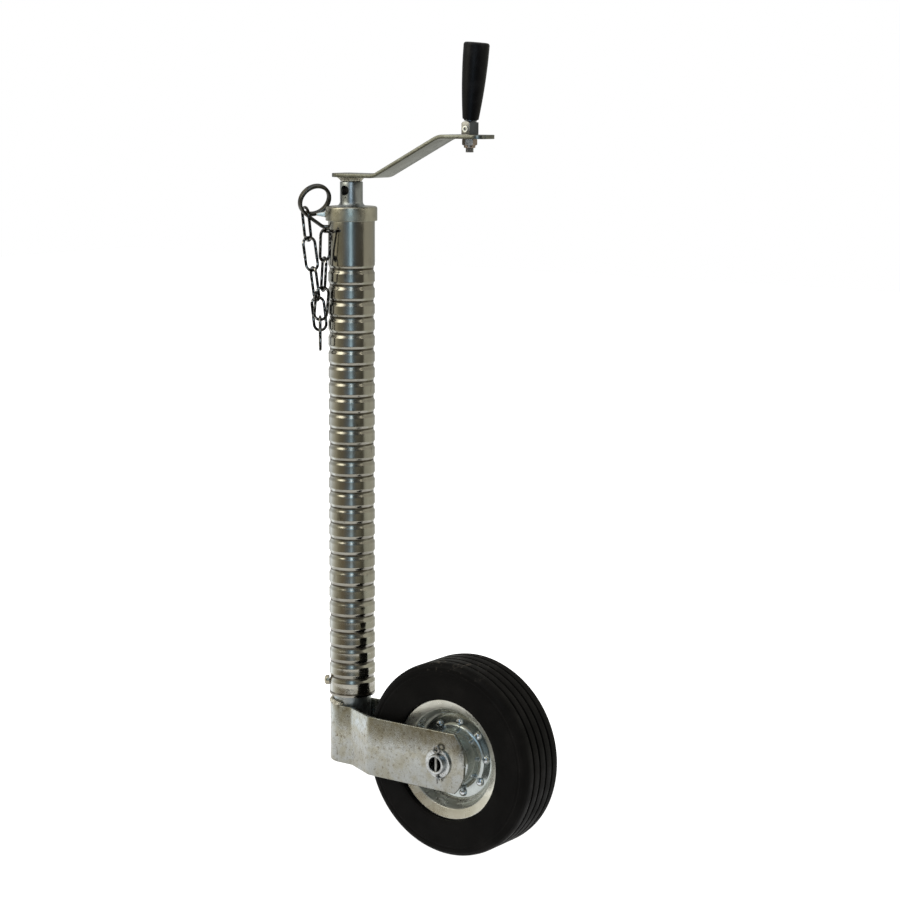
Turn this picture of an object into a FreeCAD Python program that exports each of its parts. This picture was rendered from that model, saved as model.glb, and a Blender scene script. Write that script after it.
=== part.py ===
import FreeCAD
import Part
import Sketcher

import math
import os

# Jockey wheel: a ribbed tube that a drawbar clamp grips, a cranked spindle inside it,
# and a leg tube that carries the fork and the wheel.
# Frame: origin on the tube's axis, at the middle of the land that the clamp grips.
# +Z runs up the tube, the fork and the crank arm point to +X, and the near side is -Y.
# Heights in the sheet are measured from the tube's lower end unless their name says otherwise.

SIZES = {
    # Ribbed tube
    "seat_gap": 0.05,
    "tube_radius": 24.0,
    "tube_wall": 3.0,
    "tube_length": 508.5,
    "groove_pitch": 16.49,
    "plain_top": 60.0,
    "groove_first": 18.9,
    "groove_width": 8.0,
    "groove_depth": 1.0,
    "lands_below_clamp": 13,
    # Cap and neck
    "cap_wall": 2.1,
    "cap_skirt": 10.9,
    "cap_plate": 3.0,
    "cap_rounding": 2.2,
    "lug_length": 9.9,
    "lug_root_height": 6.0,
    "lug_tip_height": 2.4,
    "lug_width": 5.0,
    "neck_wall": 1.8,
    "neck_height": 25.0,
    "neck_flare": 4.7,
    "lock_hole_radius": 5.0,
    "lock_hole_drop": 8.8,
    # Spindle and its thrust bearing
    "journal_radius": 9.0,
    "journal_clearance": 0.3,
    "screw_step": 1.0,
    "screw_length": 292.5,
    "collar_step": 3.5,
    "collar_height": 5.0,
    "thrust_gap": 1.5,
    "thrust_height": 3.0,
    "weld_radius": 15.0,
    "weld_gap": 0.5,
    "weld_fit": 0.02,
    # Crank arm
    "arm_stand_off": 4.5,
    "arm_thickness": 4.0,
    "arm_width": 30.0,
    "arm_back": 17.6,
    "arm_corner": 8.0,
    "arm_lower_bend": 38.5,
    "arm_seat": 28.2,
    "arm_rise": 40.8,
    "arm_tip": 19.0,
    "arm_bend_radius": 9.0,
    "bolt_reach": 148.0,
    # Grip joint
    "bolt_radius": 4.0,
    "bolt_length": 17.0,
    "hole_clearance": 0.1,
    "clevis_length": 10.0,
    "clevis_width": 14.5,
    "clevis_floor": 1.2,
    "ear_radius": 7.8,
    "pivot_height": 5.4,
    "slot_width": 6.4,
    "slot_clearance": 0.2,
    "rivet_radius": 2.2,
    "rivet_clearance": 0.05,
    "rivet_bore": 1.4,
    "rivet_head": 3.0,
    "rivet_head_height": 0.8,
    "tongue_gap": 0.3,
    "shoulder_radius": 6.5,
    "shoulder_height": 1.0,
    "stem_radius": 4.0,
    "grip_lean": 5.4,
    "grip_length": 74.4,
    "grip_foot_radius": 7.5,
    "grip_head_radius": 12.7,
    "grip_bulge": 1.6,
    "grip_rounding": 2.6,
    "grip_clearance": 0.3,
    "grip_end_wall": 12.0,
    "nut_flats": 13.0,
    "nut_height": 6.4,
    "thread_clearance": 0.05,
    "nut_collar_radius": 5.7,
    "nut_collar_height": 2.5,
    # Leg tube and its nut
    "leg_gap": 0.3,
    "leg_wall": 2.0,
    "leg_top_drop": 30.5,
    "leg_recess": 2.0,
    "lift_nut_height": 30.0,
    "lift_nut_flange": 4.0,
    "turning_clearance": 0.2,
    "screw_clearance": 0.3,
    # Fork
    "fork_drop": 9.0,
    "fork_height": 62.0,
    "fork_thickness": 3.6,
    "fork_straight": 17.0,
    "fork_flare": 26.0,
    "tyre_side_gap": 6.4,
    "fork_past_axle": 19.0,
    "fork_tip": 32.3,
    "fork_bend_radius": 7.0,
    "fork_weld_height": 4.2,
    "fork_weld_width": 3.4,
    # Axle
    "tyre_gap": 19.65,
    "axle_below_middle": 1.8,
    "axle_radius": 10.0,
    "axle_wall": 2.5,
    "axle_stand": 7.0,
    "axle_clearance": 0.1,
    "washer_rim": 5.0,
    "washer_thickness": 2.5,
    "pin_radius": 1.6,
    "pin_gap": 0.3,
    "pin_hole_clearance": 0.3,
    "pin_eye_radius": 3.4,
    "pin_leg": 9.0,
    "pin_spread_long": 12.0,
    "pin_spread_short": 48.0,
    "spacer_wall": 3.0,
    # Tyre
    "tyre_radius": 100.0,
    "tyre_half_width": 30.4,
    "tyre_shoulder": 8.0,
    "tread_margin": 1.1,
    "tread_groove_width": 2.4,
    "tread_groove_depth": 2.6,
    "tyre_seat": 0.05,
    "lip_gap": 0.3,
    # Rim halves
    "sheet": 2.0,
    "lip_rise": 10.8,
    "rim_lip_offset": 25.6,
    "bead_step": 4.5,
    "rim_bead_offset": 22.0,
    "rim_well_radius": 47.0,
    "rim_disc_offset": 8.0,
    "throat_step": 0.6,
    "rim_root_rounding": 2.5,
    # Hub halves, their bearings and rivets
    "flange_inset": 4.0,
    "hub_taper": 3.2,
    "hub_nose_radius": 28.0,
    "hub_nose_offset": 33.0,
    "hub_mouth_gap": 4.0,
    "hub_root_rounding": 2.6,
    "hub_nose_rounding": 3.0,
    "bearing_fit": 0.2,
    "bearing_width": 12.0,
    "spacer_gap": 0.3,
    "hub_rivet_count": 9,
    "rivet_from_root": 6.2,
    "hub_rivet_phase": 4.0,
    "hub_rivet_radius": 2.4,
    "hub_rivet_head": 3.8,
    "hub_rivet_dome": 3.4,
    "hub_rivet_crown": 0.8,
    "hub_rivet_tail": 1.4,
    "hub_rivet_tail_radius": 3.4,
    # Ring pin and chain
    "ring_radius": 16.2,
    "ring_wire": 1.95,
    "ring_out": 11.5,
    "ring_toward": 5.0,
    "ring_rise": 12.3,
    "ring_tilt": 41.0,
    "ring_roll": 43.0,
    "tail_hole_clearance": 0.35,
    "tail_stand_off": 5.5,
    "tail_drop": 18.1,
    "tail_depth": 2.4,
    "link_wire": 1.5,
    "link_length": 37.0,
    "link_width": 16.0,
    "link_slack": 0.15,
    "hang_angle": 216.2,
    "hang_inset": 0.45,
    "hang_depth": 2.07,
    "eye_drop": 21.5,
    "eye_azimuth": -97.5,
    "eye_radius": 5.2,
    "eye_wire": 1.3,
    "eye_shank": 2.0,
    "eye_shank_radius": 1.1,
    "hang_azimuth": 38.5,
    # Stud at the foot of the tube
    "stud_height": 14.0,
    "stud_radius": 5.0,
    "stud_dome": 5.6,
    "side_azimuth": -141.5,
}

doc = FreeCAD.newDocument("jockey_wheel")
sheet = doc.addObject("Spreadsheet::Sheet", "Sizes")
for row, (alias, number) in enumerate(SIZES.items(), start=1):
    sheet.set(f"A{row}", alias)
    sheet.set(f"B{row}", str(number))
    sheet.setAlias(f"B{row}", alias)
doc.recompute()


class Size:
    """A number together with the sheet formula that it comes from."""

    def __init__(self, value, formula):
        self.value = float(value)
        self.formula = formula

    def __add__(self, other):
        other = as_size(other)
        return Size(self.value + other.value, f"({self.formula} + {other.formula})")

    def __sub__(self, other):
        other = as_size(other)
        return Size(self.value - other.value, f"({self.formula} - {other.formula})")

    def __mul__(self, other):
        other = as_size(other)
        return Size(self.value * other.value, f"({self.formula} * {other.formula})")

    def __truediv__(self, other):
        other = as_size(other)
        return Size(self.value / other.value, f"({self.formula} / {other.formula})")

    def __neg__(self):
        return Size(-self.value, f"(0 - {self.formula})")

    def __radd__(self, other):
        return as_size(other) + self

    def __rsub__(self, other):
        return as_size(other) - self

    def __rmul__(self, other):
        return as_size(other) * self


def as_size(number):
    if isinstance(number, Size):
        return number
    return Size(number, f"({number:.9g})")


def sine(angle):
    return Size(math.sin(math.radians(angle.value)), f"sin({angle.formula} * 1 deg)")


def cosine(angle):
    return Size(math.cos(math.radians(angle.value)), f"cos({angle.formula} * 1 deg)")


def root(number):
    return Size(math.sqrt(number.value), f"sqrt({number.formula})")


def whole(number):
    return Size(math.floor(number.value), f"floor({number.formula})")


class Sheet:
    """Every driving dimension by its name, and what follows from them."""


S = Sheet()
for alias, number in SIZES.items():
    setattr(S, alias, Size(number, f"Sizes.{alias}"))

# Sizes that follow from the sheet's own

S.groove_count = whole((S.tube_length - S.groove_first - S.plain_top) / S.groove_pitch) + 1
S.cap_radius = S.tube_radius + S.cap_wall
S.lug_reach = S.cap_radius + S.lug_length
S.neck_radius = S.journal_radius + S.journal_clearance + S.neck_wall
S.lock_hole_height = S.neck_height - S.lock_hole_drop
S.screw_radius = S.journal_radius - S.screw_step
S.screw_bottom = S.tube_length - S.screw_length
S.thrust_radius = S.tube_radius - S.tube_wall - S.thrust_gap
S.collar_radius = S.thrust_radius - S.collar_step
S.plate_height = S.tube_length + S.cap_plate + S.neck_height + S.arm_stand_off
S.arm_upper_bend = S.bolt_reach - S.arm_seat
S.arm_end = S.bolt_reach + S.arm_tip
S.tongue_radius = S.pivot_height - S.clevis_floor - S.tongue_gap
S.leg_radius = S.tube_radius - S.tube_wall - S.groove_depth - S.leg_gap
S.leg_top = S.tube_length - S.leg_top_drop
S.fork_half_width = S.tyre_half_width + S.tyre_side_gap + S.fork_thickness
S.axle_reach = S.leg_radius + S.seat_gap + S.fork_thickness + S.tyre_gap + S.tyre_radius
S.axle_drop = S.fork_drop + S.fork_height * 0.5 + S.axle_below_middle
S.axle_bore = S.axle_radius - S.axle_wall
S.axle_end = S.fork_half_width + S.axle_stand
S.fork_corner = S.axle_reach + S.fork_past_axle
S.fork_nose = S.axle_reach + S.fork_tip
S.washer_radius = S.axle_radius + S.washer_rim
S.spacer_radius = S.axle_radius + S.spacer_wall
S.tread_pitch = (S.tyre_half_width - S.tyre_shoulder - S.tread_margin) * 0.5
S.rim_bead_radius = S.rim_well_radius + S.bead_step
S.rim_lip_radius = S.rim_bead_radius + S.lip_rise
S.hub_flange_radius = S.rim_well_radius - S.flange_inset
S.hub_root_radius = S.hub_nose_radius + S.hub_taper
S.hub_mouth_radius = S.axle_radius + S.hub_mouth_gap
S.hub_rivet_circle = S.hub_root_radius + S.rivet_from_root
S.rim_throat_radius = S.hub_root_radius - S.throat_step
S.bearing_radius = S.hub_nose_radius - S.sheet - S.bearing_fit
S.ring_right = -(S.cap_radius + S.ring_out)
S.ring_height = S.tube_length + S.ring_rise
S.tail_height = S.tube_length - S.tail_drop
S.eye_height = S.tube_length - S.eye_drop

ZERO = as_size(0)
CLEAR = as_size(60)
SUBPARTS = []


# Building helpers


def bind(thing, prop, size):
    """Ties a property of a document object to the sheet."""
    thing.setExpression(prop, as_size(size).formula)


def keep(thing, label):
    """Names a finished sub-part, so that it is checked and written."""
    thing.Label = label
    SUBPARTS.append(thing)
    return thing


def place(thing, x=ZERO, y=ZERO, z=ZERO, axis=None, angle=ZERO):
    """Puts a sub-part at a point, turned about an axis through it."""
    if axis is not None:
        turn = FreeCAD.Rotation(FreeCAD.Vector(*axis), as_size(angle).value)
        thing.Placement = FreeCAD.Placement(FreeCAD.Vector(0, 0, 0), turn)
    for letter, value in zip("xyz", (x, y, z)):
        bind(thing, f"Placement.Base.{letter}", value)


def new_body(name):
    body = doc.addObject("PartDesign::Body", name)
    body.AllowCompound = True
    return body


def new_sketch(body, plane, lift=ZERO):
    """A sketch on one of the body's own planes, raised along that plane's normal."""
    sketch = body.newObject("Sketcher::SketchObject", f"{body.Name}_outline")
    support = [f for f in body.Origin.OriginFeatures if f.Role == plane][0]
    sketch.AttachmentSupport = (support, [""])
    sketch.MapMode = "FlatFace"
    bind(sketch, "AttachmentOffset.Base.z", lift)
    return sketch


def fix_point(sketch, edge, end, point):
    """Holds an end of an edge at a point given by two sizes."""
    for kind, size in zip(("DistanceX", "DistanceY"), point):
        size = as_size(size)
        index = sketch.addConstraint(Sketcher.Constraint(kind, edge, end, size.value))
        sketch.setExpression(f"Constraints[{index}]", size.formula)


def draw_outline(sketch, points, arcs=None):
    """Closes an outline through the points. arcs maps an edge's number to a point on its arc."""
    arcs = arcs or {}
    flat = [FreeCAD.Vector(as_size(x).value, as_size(y).value, 0) for x, y in points]
    ends = []
    for number, start in enumerate(flat):
        finish = flat[(number + 1) % len(flat)]
        if number not in arcs:
            edge = sketch.addGeometry(Part.LineSegment(start, finish))
            ends.append((edge, 1, 2))
            continue
        middle = FreeCAD.Vector(*[as_size(value).value for value in arcs[number]], 0)
        turns_left = (middle - start).cross(finish - middle).z > 0
        if turns_left:
            edge = sketch.addGeometry(Part.Arc(start, middle, finish))
            ends.append((edge, 1, 2))
        else:
            edge = sketch.addGeometry(Part.Arc(finish, middle, start))
            ends.append((edge, 2, 1))
        mark = sketch.addGeometry(Part.Point(middle), True)
        fix_point(sketch, mark, 1, arcs[number])
        sketch.addConstraint(Sketcher.Constraint("PointOnObject", mark, 1, edge))
    for number, (edge, first, last) in enumerate(ends):
        following = ends[(number + 1) % len(ends)]
        sketch.addConstraint(Sketcher.Constraint("Coincident", edge, last, following[0], following[1]))
        fix_point(sketch, edge, first, points[number])
    return sketch


def draw_circle(sketch, x, y, radius):
    """A full circle whose centre and radius follow the sheet."""
    centre = FreeCAD.Vector(as_size(x).value, as_size(y).value, 0)
    edge = sketch.addGeometry(Part.Circle(centre, FreeCAD.Vector(0, 0, 1), as_size(radius).value))
    fix_point(sketch, edge, 3, (x, y))
    index = sketch.addConstraint(Sketcher.Constraint("Radius", edge, as_size(radius).value))
    sketch.setExpression(f"Constraints[{index}]", as_size(radius).formula)
    return sketch


def feature(body, kind, sketch, name):
    made = body.newObject(f"PartDesign::{kind}", f"{body.Name}_{name}")
    made.Profile = sketch
    sketch.Visibility = False
    return made


def revolve(body, sketch, name="turned", kind="Revolution", angle=360):
    """Turns an outline about its own vertical axis."""
    made = feature(body, kind, sketch, name)
    made.ReferenceAxis = (sketch, ["V_Axis"])
    made.Angle = angle
    doc.recompute()
    return made


def pad(body, sketch, length, name="raised", symmetric=True, reverse=False):
    made = feature(body, "Pad", sketch, name)
    made.Midplane = symmetric
    made.Reversed = reverse
    bind(made, "Length", length)
    doc.recompute()
    return made


def cut(body, sketch, length, name="cut", symmetric=True, reverse=False):
    """Cuts an outline out of the body and makes sure that something was cut."""
    before = body.Shape.Volume
    made = feature(body, "Pocket", sketch, name)
    made.Midplane = symmetric
    made.Reversed = reverse
    bind(made, "Length", length)
    doc.recompute()
    if not body.Shape.Volume < before - 1e-3:
        raise RuntimeError(f"{made.Name} cuts nothing")
    return made


def groove(body, sketch, name="groove"):
    before = body.Shape.Volume
    made = revolve(body, sketch, name, kind="Groove")
    if not body.Shape.Volume < before - 1e-3:
        raise RuntimeError(f"{made.Name} cuts nothing")
    return made


def repeat_round(body, features, axis_role, count):
    """Repeats features evenly round one of the body's own axes."""
    pattern = body.newObject("PartDesign::PolarPattern", f"{body.Name}_round")
    pattern.Originals = features
    axis = [f for f in body.Origin.OriginFeatures if f.Role == axis_role][0]
    pattern.Axis = (axis, [""])
    pattern.Angle = 360
    bind(pattern, "Occurrences", count)
    body.Tip = pattern
    doc.recompute()
    return pattern


def repeat_along(body, features, axis_role, pitch, count):
    """Repeats features at a pitch along one of the body's own axes."""
    pattern = body.newObject("PartDesign::LinearPattern", f"{body.Name}_row")
    pattern.Originals = features
    axis = [f for f in body.Origin.OriginFeatures if f.Role == axis_role][0]
    pattern.Direction = (axis, [""])
    bind(pattern, "Occurrences", count)
    bind(pattern, "Length", pitch * (count - 1))
    body.Tip = pattern
    doc.recompute()
    return pattern


def round_edges(body, test, radius, name="rounding"):
    """Rounds the edges of the body's last feature that pass the test."""
    last = body.Tip
    edges = last.Shape.Edges
    names = [f"Edge{number}" for number, edge in enumerate(edges, start=1) if test(edge)]
    if not names:
        raise RuntimeError(f"{body.Name}: no edge to round")
    made = body.newObject("PartDesign::Fillet", f"{body.Name}_{name}")
    made.Base = (last, names)
    bind(made, "Radius", radius)
    doc.recompute()
    return made


def is_circle(edge, radius, height, axis):
    """Tells whether an edge is a circle of this radius at this height along the axis."""
    if not isinstance(edge.Curve, Part.Circle):
        return False
    centre = edge.Curve.Center
    return abs(edge.Curve.Radius - radius.value) < 0.02 and abs(getattr(centre, axis) - height.value) < 0.02


def is_upright(edge, x, y):
    """Tells whether an edge is a straight upright through x, y."""
    if not isinstance(edge.Curve, Part.Line) or len(edge.Vertexes) != 2:
        return False
    spots = [v.Point for v in edge.Vertexes]
    return all(math.hypot(p.x - x.value, p.y - y.value) < 0.05 for p in spots)


def solid_of(kind, label, **sizes):
    """A primitive whose sizes follow the sheet."""
    made = doc.addObject(f"Part::{kind}", label)
    for prop, size in sizes.items():
        bind(made, prop, size)
    return made


def fuse(label, pieces):
    made = doc.addObject("Part::MultiFuse", label)
    made.Shapes = pieces
    made.Refine = True
    return made


# Places that several sub-parts share

foot = -(S.groove_first + (S.lands_below_clamp + 0.5) * S.groove_pitch)
tube_top = foot + S.tube_length
cap_top = tube_top + S.cap_plate
plate_under = foot + S.plate_height
plate_top = plate_under + S.arm_thickness
arm_top = plate_top + S.arm_rise
arm_under = arm_top - S.arm_thickness
pivot_height = arm_top + S.pivot_height
leg_top = foot + S.leg_top
fork_top = foot - S.fork_drop
axle_height = foot - S.axle_drop
tube_bore = S.tube_radius - S.tube_wall
sleeve_bore = S.journal_radius + S.journal_clearance
leg_bore = S.leg_radius - S.leg_wall
fork_inner = S.leg_radius + S.seat_gap
fork_outer = fork_inner + S.fork_thickness
arm_inner = S.fork_half_width - S.fork_thickness
washer_outer = S.fork_half_width + S.washer_thickness
pin_offset = washer_outer + S.pin_gap + S.pin_radius


# Ribbed tube: rolled grooves stand in as ridges on the bore, where they guide the leg


def make_outer_tube():
    body = new_body("outer_tube")
    wall = [(tube_bore, ZERO), (S.tube_radius, ZERO), (S.tube_radius, S.tube_length), (tube_bore, S.tube_length)]
    revolve(body, draw_outline(new_sketch(body, "XZ_Plane"), wall), "wall")

    low = S.groove_first - S.groove_width * 0.5
    high = S.groove_first + S.groove_width * 0.5
    inside = tube_bore + S.tube_wall * 0.4
    ridge_outline = [(tube_bore, low), (inside, low), (inside, high), (tube_bore, high)]
    crest = (tube_bore - S.groove_depth, S.groove_first)
    ridge_sketch = draw_outline(new_sketch(body, "XZ_Plane"), ridge_outline, {3: crest})
    ridge = revolve(body, ridge_sketch, "ridge")

    outside = S.tube_radius + 1
    groove_outline = [(outside, low), (outside, high), (S.tube_radius, high), (S.tube_radius, low)]
    valley = (S.tube_radius - S.groove_depth, S.groove_first)
    valley_sketch = draw_outline(new_sketch(body, "XZ_Plane"), groove_outline, {2: valley})
    valley_cut = groove(body, valley_sketch, "valley")
    repeat_along(body, [ridge, valley_cut], "Z_Axis", S.groove_pitch, S.groove_count)

    # hole under the cap in which the ring pin's tail is parked
    hole = new_sketch(body, "XZ_Plane")
    draw_circle(hole, ZERO, S.tail_height, S.ring_wire + S.tail_hole_clearance)
    hole.AttachmentOffset = FreeCAD.Placement(
        FreeCAD.Vector(0, 0, 0), FreeCAD.Rotation(FreeCAD.Vector(0, 1, 0), S.side_azimuth.value + 90)
    )
    cut(body, hole, S.tube_radius * 2, "tail_hole", symmetric=False, reverse=True)
    place(body, z=foot)
    return keep(body, "outer_tube")


def make_cap():
    """Turned cap over the tube's top end, pierced for the spindle."""
    body = new_body("cap")
    seat = S.tube_radius + S.seat_gap
    outline = [
        (seat, -S.cap_skirt),
        (S.cap_radius, -S.cap_skirt),
        (S.cap_radius, S.cap_plate),
        (sleeve_bore, S.cap_plate),
        (sleeve_bore, ZERO),
        (seat, ZERO),
    ]
    revolve(body, draw_outline(new_sketch(body, "XZ_Plane"), outline))
    round_edges(body, lambda edge: is_circle(edge, S.cap_radius, S.cap_plate, "z"), S.cap_rounding)
    place(body, z=tube_top)
    return keep(body, "cap")


def make_cap_lug():
    """Small tapered lug on the side of the cap, next to the ring pin."""
    body = new_body("cap_lug")
    middle = -S.cap_skirt * 0.5
    inner = S.cap_radius - 1
    outline = [
        (inner, middle - S.lug_root_height * 0.5),
        (S.lug_reach, middle - S.lug_tip_height * 0.5),
        (S.lug_reach, middle + S.lug_tip_height * 0.5),
        (inner, middle + S.lug_root_height * 0.5),
    ]
    pad(body, draw_outline(new_sketch(body, "XZ_Plane"), outline), S.lug_width)
    seat = S.cap_radius + S.seat_gap
    seat_outline = [(ZERO, -CLEAR), (seat, -CLEAR), (seat, CLEAR), (ZERO, CLEAR)]
    groove(body, draw_outline(new_sketch(body, "XZ_Plane"), seat_outline), "seat")
    place(body, z=tube_top, axis=(0, 0, 1), angle=S.side_azimuth)
    return keep(body, "cap_lug")


def make_neck_sleeve():
    """Guide sleeve on the cap, flared into it, with the cross hole that locks the crank."""
    body = new_body("neck_sleeve")
    flare_middle = S.neck_flare * (1 - math.sqrt(0.5))
    outline = [
        (sleeve_bore, ZERO),
        (S.neck_radius + S.neck_flare, ZERO),
        (S.neck_radius, S.neck_flare),
        (S.neck_radius, S.neck_height),
        (sleeve_bore, S.neck_height),
    ]
    arc = {1: (S.neck_radius + flare_middle, flare_middle)}
    revolve(body, draw_outline(new_sketch(body, "XZ_Plane"), outline, arc))
    hole = draw_circle(new_sketch(body, "XZ_Plane"), ZERO, S.lock_hole_height, S.lock_hole_radius)
    cut(body, hole, CLEAR, "lock_hole")
    place(body, z=cap_top)
    return keep(body, "neck_sleeve")


def make_thrust_washer():
    """Washer under the cap that takes the spindle's push."""
    body = new_body("thrust_washer")
    outline = [
        (sleeve_bore, -S.thrust_height),
        (S.thrust_radius, -S.thrust_height),
        (S.thrust_radius, ZERO),
        (sleeve_bore, ZERO),
    ]
    revolve(body, draw_outline(new_sketch(body, "XZ_Plane"), outline))
    place(body, z=tube_top)
    return keep(body, "thrust_washer")


# Crank: spindle, weld, arm and the clevis of the folding grip


def make_spindle():
    body = new_body("spindle")
    top = S.plate_height
    collar_top = S.tube_length - S.thrust_height - S.turning_clearance
    collar_low = collar_top - S.collar_height
    outline = [
        (ZERO, S.screw_bottom),
        (S.screw_radius - 1, S.screw_bottom),
        (S.screw_radius, S.screw_bottom + 1),
        (S.screw_radius, collar_low),
        (S.collar_radius, collar_low),
        (S.collar_radius, collar_top),
        (S.journal_radius, collar_top),
        (S.journal_radius, top),
        (ZERO, top),
    ]
    revolve(body, draw_outline(new_sketch(body, "XZ_Plane"), outline))
    height = S.tube_length + S.cap_plate + S.lock_hole_height
    hole = draw_circle(new_sketch(body, "XZ_Plane"), ZERO, height, S.lock_hole_radius)
    cut(body, hole, CLEAR, "lock_hole")
    place(body, z=foot)
    return keep(body, "spindle")


def make_crank_weld():
    """Flared weld bead between the spindle's top and the underside of the arm."""
    body = new_body("crank_weld")
    inner = S.journal_radius + S.weld_fit
    low = -(S.arm_stand_off - S.weld_gap)
    outline = [(inner, low), (S.neck_radius, low), (S.weld_radius, ZERO), (inner, ZERO)]
    arc = {1: (S.neck_radius + (S.weld_radius - S.neck_radius) * 0.35, low * 0.35)}
    revolve(body, draw_outline(new_sketch(body, "XZ_Plane"), outline, arc))
    place(body, z=plate_under)
    return keep(body, "crank_weld")


def make_crank_arm():
    """Flat bar bent twice, with rounded corners over the spindle and a hole for the clevis."""
    body = new_body("crank_arm")
    run = S.arm_upper_bend - S.arm_lower_bend
    slope = root(run * run + S.arm_rise * S.arm_rise)
    shift = S.arm_thickness * S.arm_rise / (slope + run)
    outline = [
        (-S.arm_back, ZERO),
        (S.arm_lower_bend + shift, ZERO),
        (S.arm_upper_bend + shift, S.arm_rise),
        (S.arm_end, S.arm_rise),
        (S.arm_end, S.arm_rise + S.arm_thickness),
        (S.arm_upper_bend, S.arm_rise + S.arm_thickness),
        (S.arm_lower_bend, S.arm_thickness),
        (-S.arm_back, S.arm_thickness),
    ]
    pad(body, draw_outline(new_sketch(body, "XZ_Plane"), outline), S.arm_width)
    hole = draw_circle(new_sketch(body, "XY_Plane"), S.bolt_reach, ZERO, S.bolt_radius + S.hole_clearance)
    cut(body, hole, CLEAR * 2, "bolt_hole")

    def at_bend(edge, points):
        middle = edge.BoundBox.Center
        crosswise = edge.BoundBox.YLength > S.arm_width.value - 0.1
        near = [math.hypot(middle.x - x.value, middle.z - z.value) < 0.05 for x, z in points]
        return crosswise and any(near)

    inner = [outline[1], outline[5]]
    outer = [outline[2], outline[6]]
    round_edges(body, lambda edge: at_bend(edge, [inner[0], inner[1]]), S.arm_bend_radius, "outer_bends")
    small = S.arm_bend_radius - S.arm_thickness
    round_edges(body, lambda edge: at_bend(edge, outer), small, "inner_bends")
    half = S.arm_width * 0.5
    corners = [(-S.arm_back, -half), (-S.arm_back, half)]
    round_edges(
        body,
        lambda edge: any(is_upright(edge, x, y) for x, y in corners),
        S.arm_corner,
        "corners",
    )
    place(body, z=plate_under)
    return keep(body, "crank_arm")


def make_grip_clevis():
    """Clevis with two round-topped ears and a threaded shank through the arm."""
    body = new_body("grip_clevis")
    half = S.clevis_length * 0.5
    shoulder = S.pivot_height + root(S.ear_radius * S.ear_radius - half * half)
    outline = [(-half, ZERO), (half, ZERO), (half, shoulder), (-half, shoulder)]
    crown = (ZERO, S.pivot_height + S.ear_radius)
    pad(body, draw_outline(new_sketch(body, "XZ_Plane"), outline, {2: crown}), S.clevis_width)
    side = S.slot_width * 0.5
    slot = [(-side, S.clevis_floor), (side, S.clevis_floor), (side, CLEAR), (-side, CLEAR)]
    cut(body, draw_outline(new_sketch(body, "YZ_Plane"), slot), CLEAR, "slot")
    eye = draw_circle(new_sketch(body, "XZ_Plane"), ZERO, S.pivot_height, S.rivet_radius + S.rivet_clearance)
    cut(body, eye, CLEAR, "rivet_hole")
    shank = draw_circle(new_sketch(body, "XY_Plane"), ZERO, ZERO, S.bolt_radius)
    pad(body, shank, S.bolt_length, "shank", symmetric=False, reverse=True)
    place(body, x=S.bolt_reach, z=arm_top)
    return keep(body, "grip_clevis")


def make_clevis_rivet():
    """Tubular rivet through both ears, rolled over at each end."""
    body = new_body("clevis_rivet")
    half = S.clevis_width * 0.5
    end = half + S.rivet_head_height
    outline = [
        (S.rivet_bore, -end),
        (S.rivet_head, -end),
        (S.rivet_head, -half),
        (S.rivet_radius, -half),
        (S.rivet_radius, half),
        (S.rivet_head, half),
        (S.rivet_head, end),
        (S.rivet_bore, end),
    ]
    revolve(body, draw_outline(new_sketch(body, "XY_Plane"), outline))
    place(body, x=S.bolt_reach, z=pivot_height)
    return keep(body, "clevis_rivet")


def make_clevis_nut():
    """Hexagon lock nut under the arm, with its nylon collar below."""
    body = new_body("clevis_nut")
    corner = S.nut_flats / math.sqrt(3)
    points = []
    for number in range(6):
        turn = math.radians(60 * number)
        points.append((corner * math.cos(turn), corner * math.sin(turn)))
    pad(body, draw_outline(new_sketch(body, "XY_Plane"), points), S.nut_height, symmetric=False, reverse=True)
    ring = draw_circle(new_sketch(body, "XY_Plane"), ZERO, ZERO, S.nut_collar_radius)
    pad(body, ring, S.nut_height + S.nut_collar_height, "collar", symmetric=False, reverse=True)
    bore = draw_circle(new_sketch(body, "XY_Plane"), ZERO, ZERO, S.bolt_radius + S.thread_clearance)
    cut(body, bore, CLEAR, "bore")
    flat = S.nut_flats * 0.5
    outside = corner + 1
    rise = (outside - flat) * math.tan(math.radians(30))
    chamfer = [(flat, -S.nut_height), (outside, -S.nut_height), (outside, -S.nut_height + rise)]
    groove(body, draw_outline(new_sketch(body, "XZ_Plane"), chamfer), "chamfer")
    place(body, x=S.bolt_reach, z=arm_under)
    return keep(body, "clevis_nut")


def make_grip_stem():
    """Tongue that turns on the rivet, a shoulder, and the rod that the grip spins on."""
    body = new_body("grip_stem")
    shoulder = S.ear_radius + S.grip_clearance
    wide = S.tongue_radius
    outline = [(-wide, ZERO), (wide, ZERO), (wide, shoulder), (-wide, shoulder)]
    tongue = draw_outline(new_sketch(body, "XZ_Plane"), outline, {0: (ZERO, -wide)})
    pad(body, tongue, S.slot_width - S.slot_clearance * 2)
    eye = draw_circle(new_sketch(body, "XZ_Plane"), ZERO, ZERO, S.rivet_radius + S.hole_clearance)
    cut(body, eye, CLEAR, "eye")
    shoulder_top = shoulder + S.shoulder_height
    rod_top = shoulder_top + S.grip_clearance + S.grip_length - S.grip_end_wall
    rod = [
        (ZERO, shoulder),
        (S.shoulder_radius, shoulder),
        (S.shoulder_radius, shoulder_top),
        (S.stem_radius, shoulder_top),
        (S.stem_radius, rod_top),
        (ZERO, rod_top),
    ]
    revolve(body, draw_outline(new_sketch(body, "XZ_Plane"), rod), "rod")
    place(body, x=S.bolt_reach, z=pivot_height, axis=(0, 1, 0), angle=S.grip_lean)
    return keep(body, "grip_stem")


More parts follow.
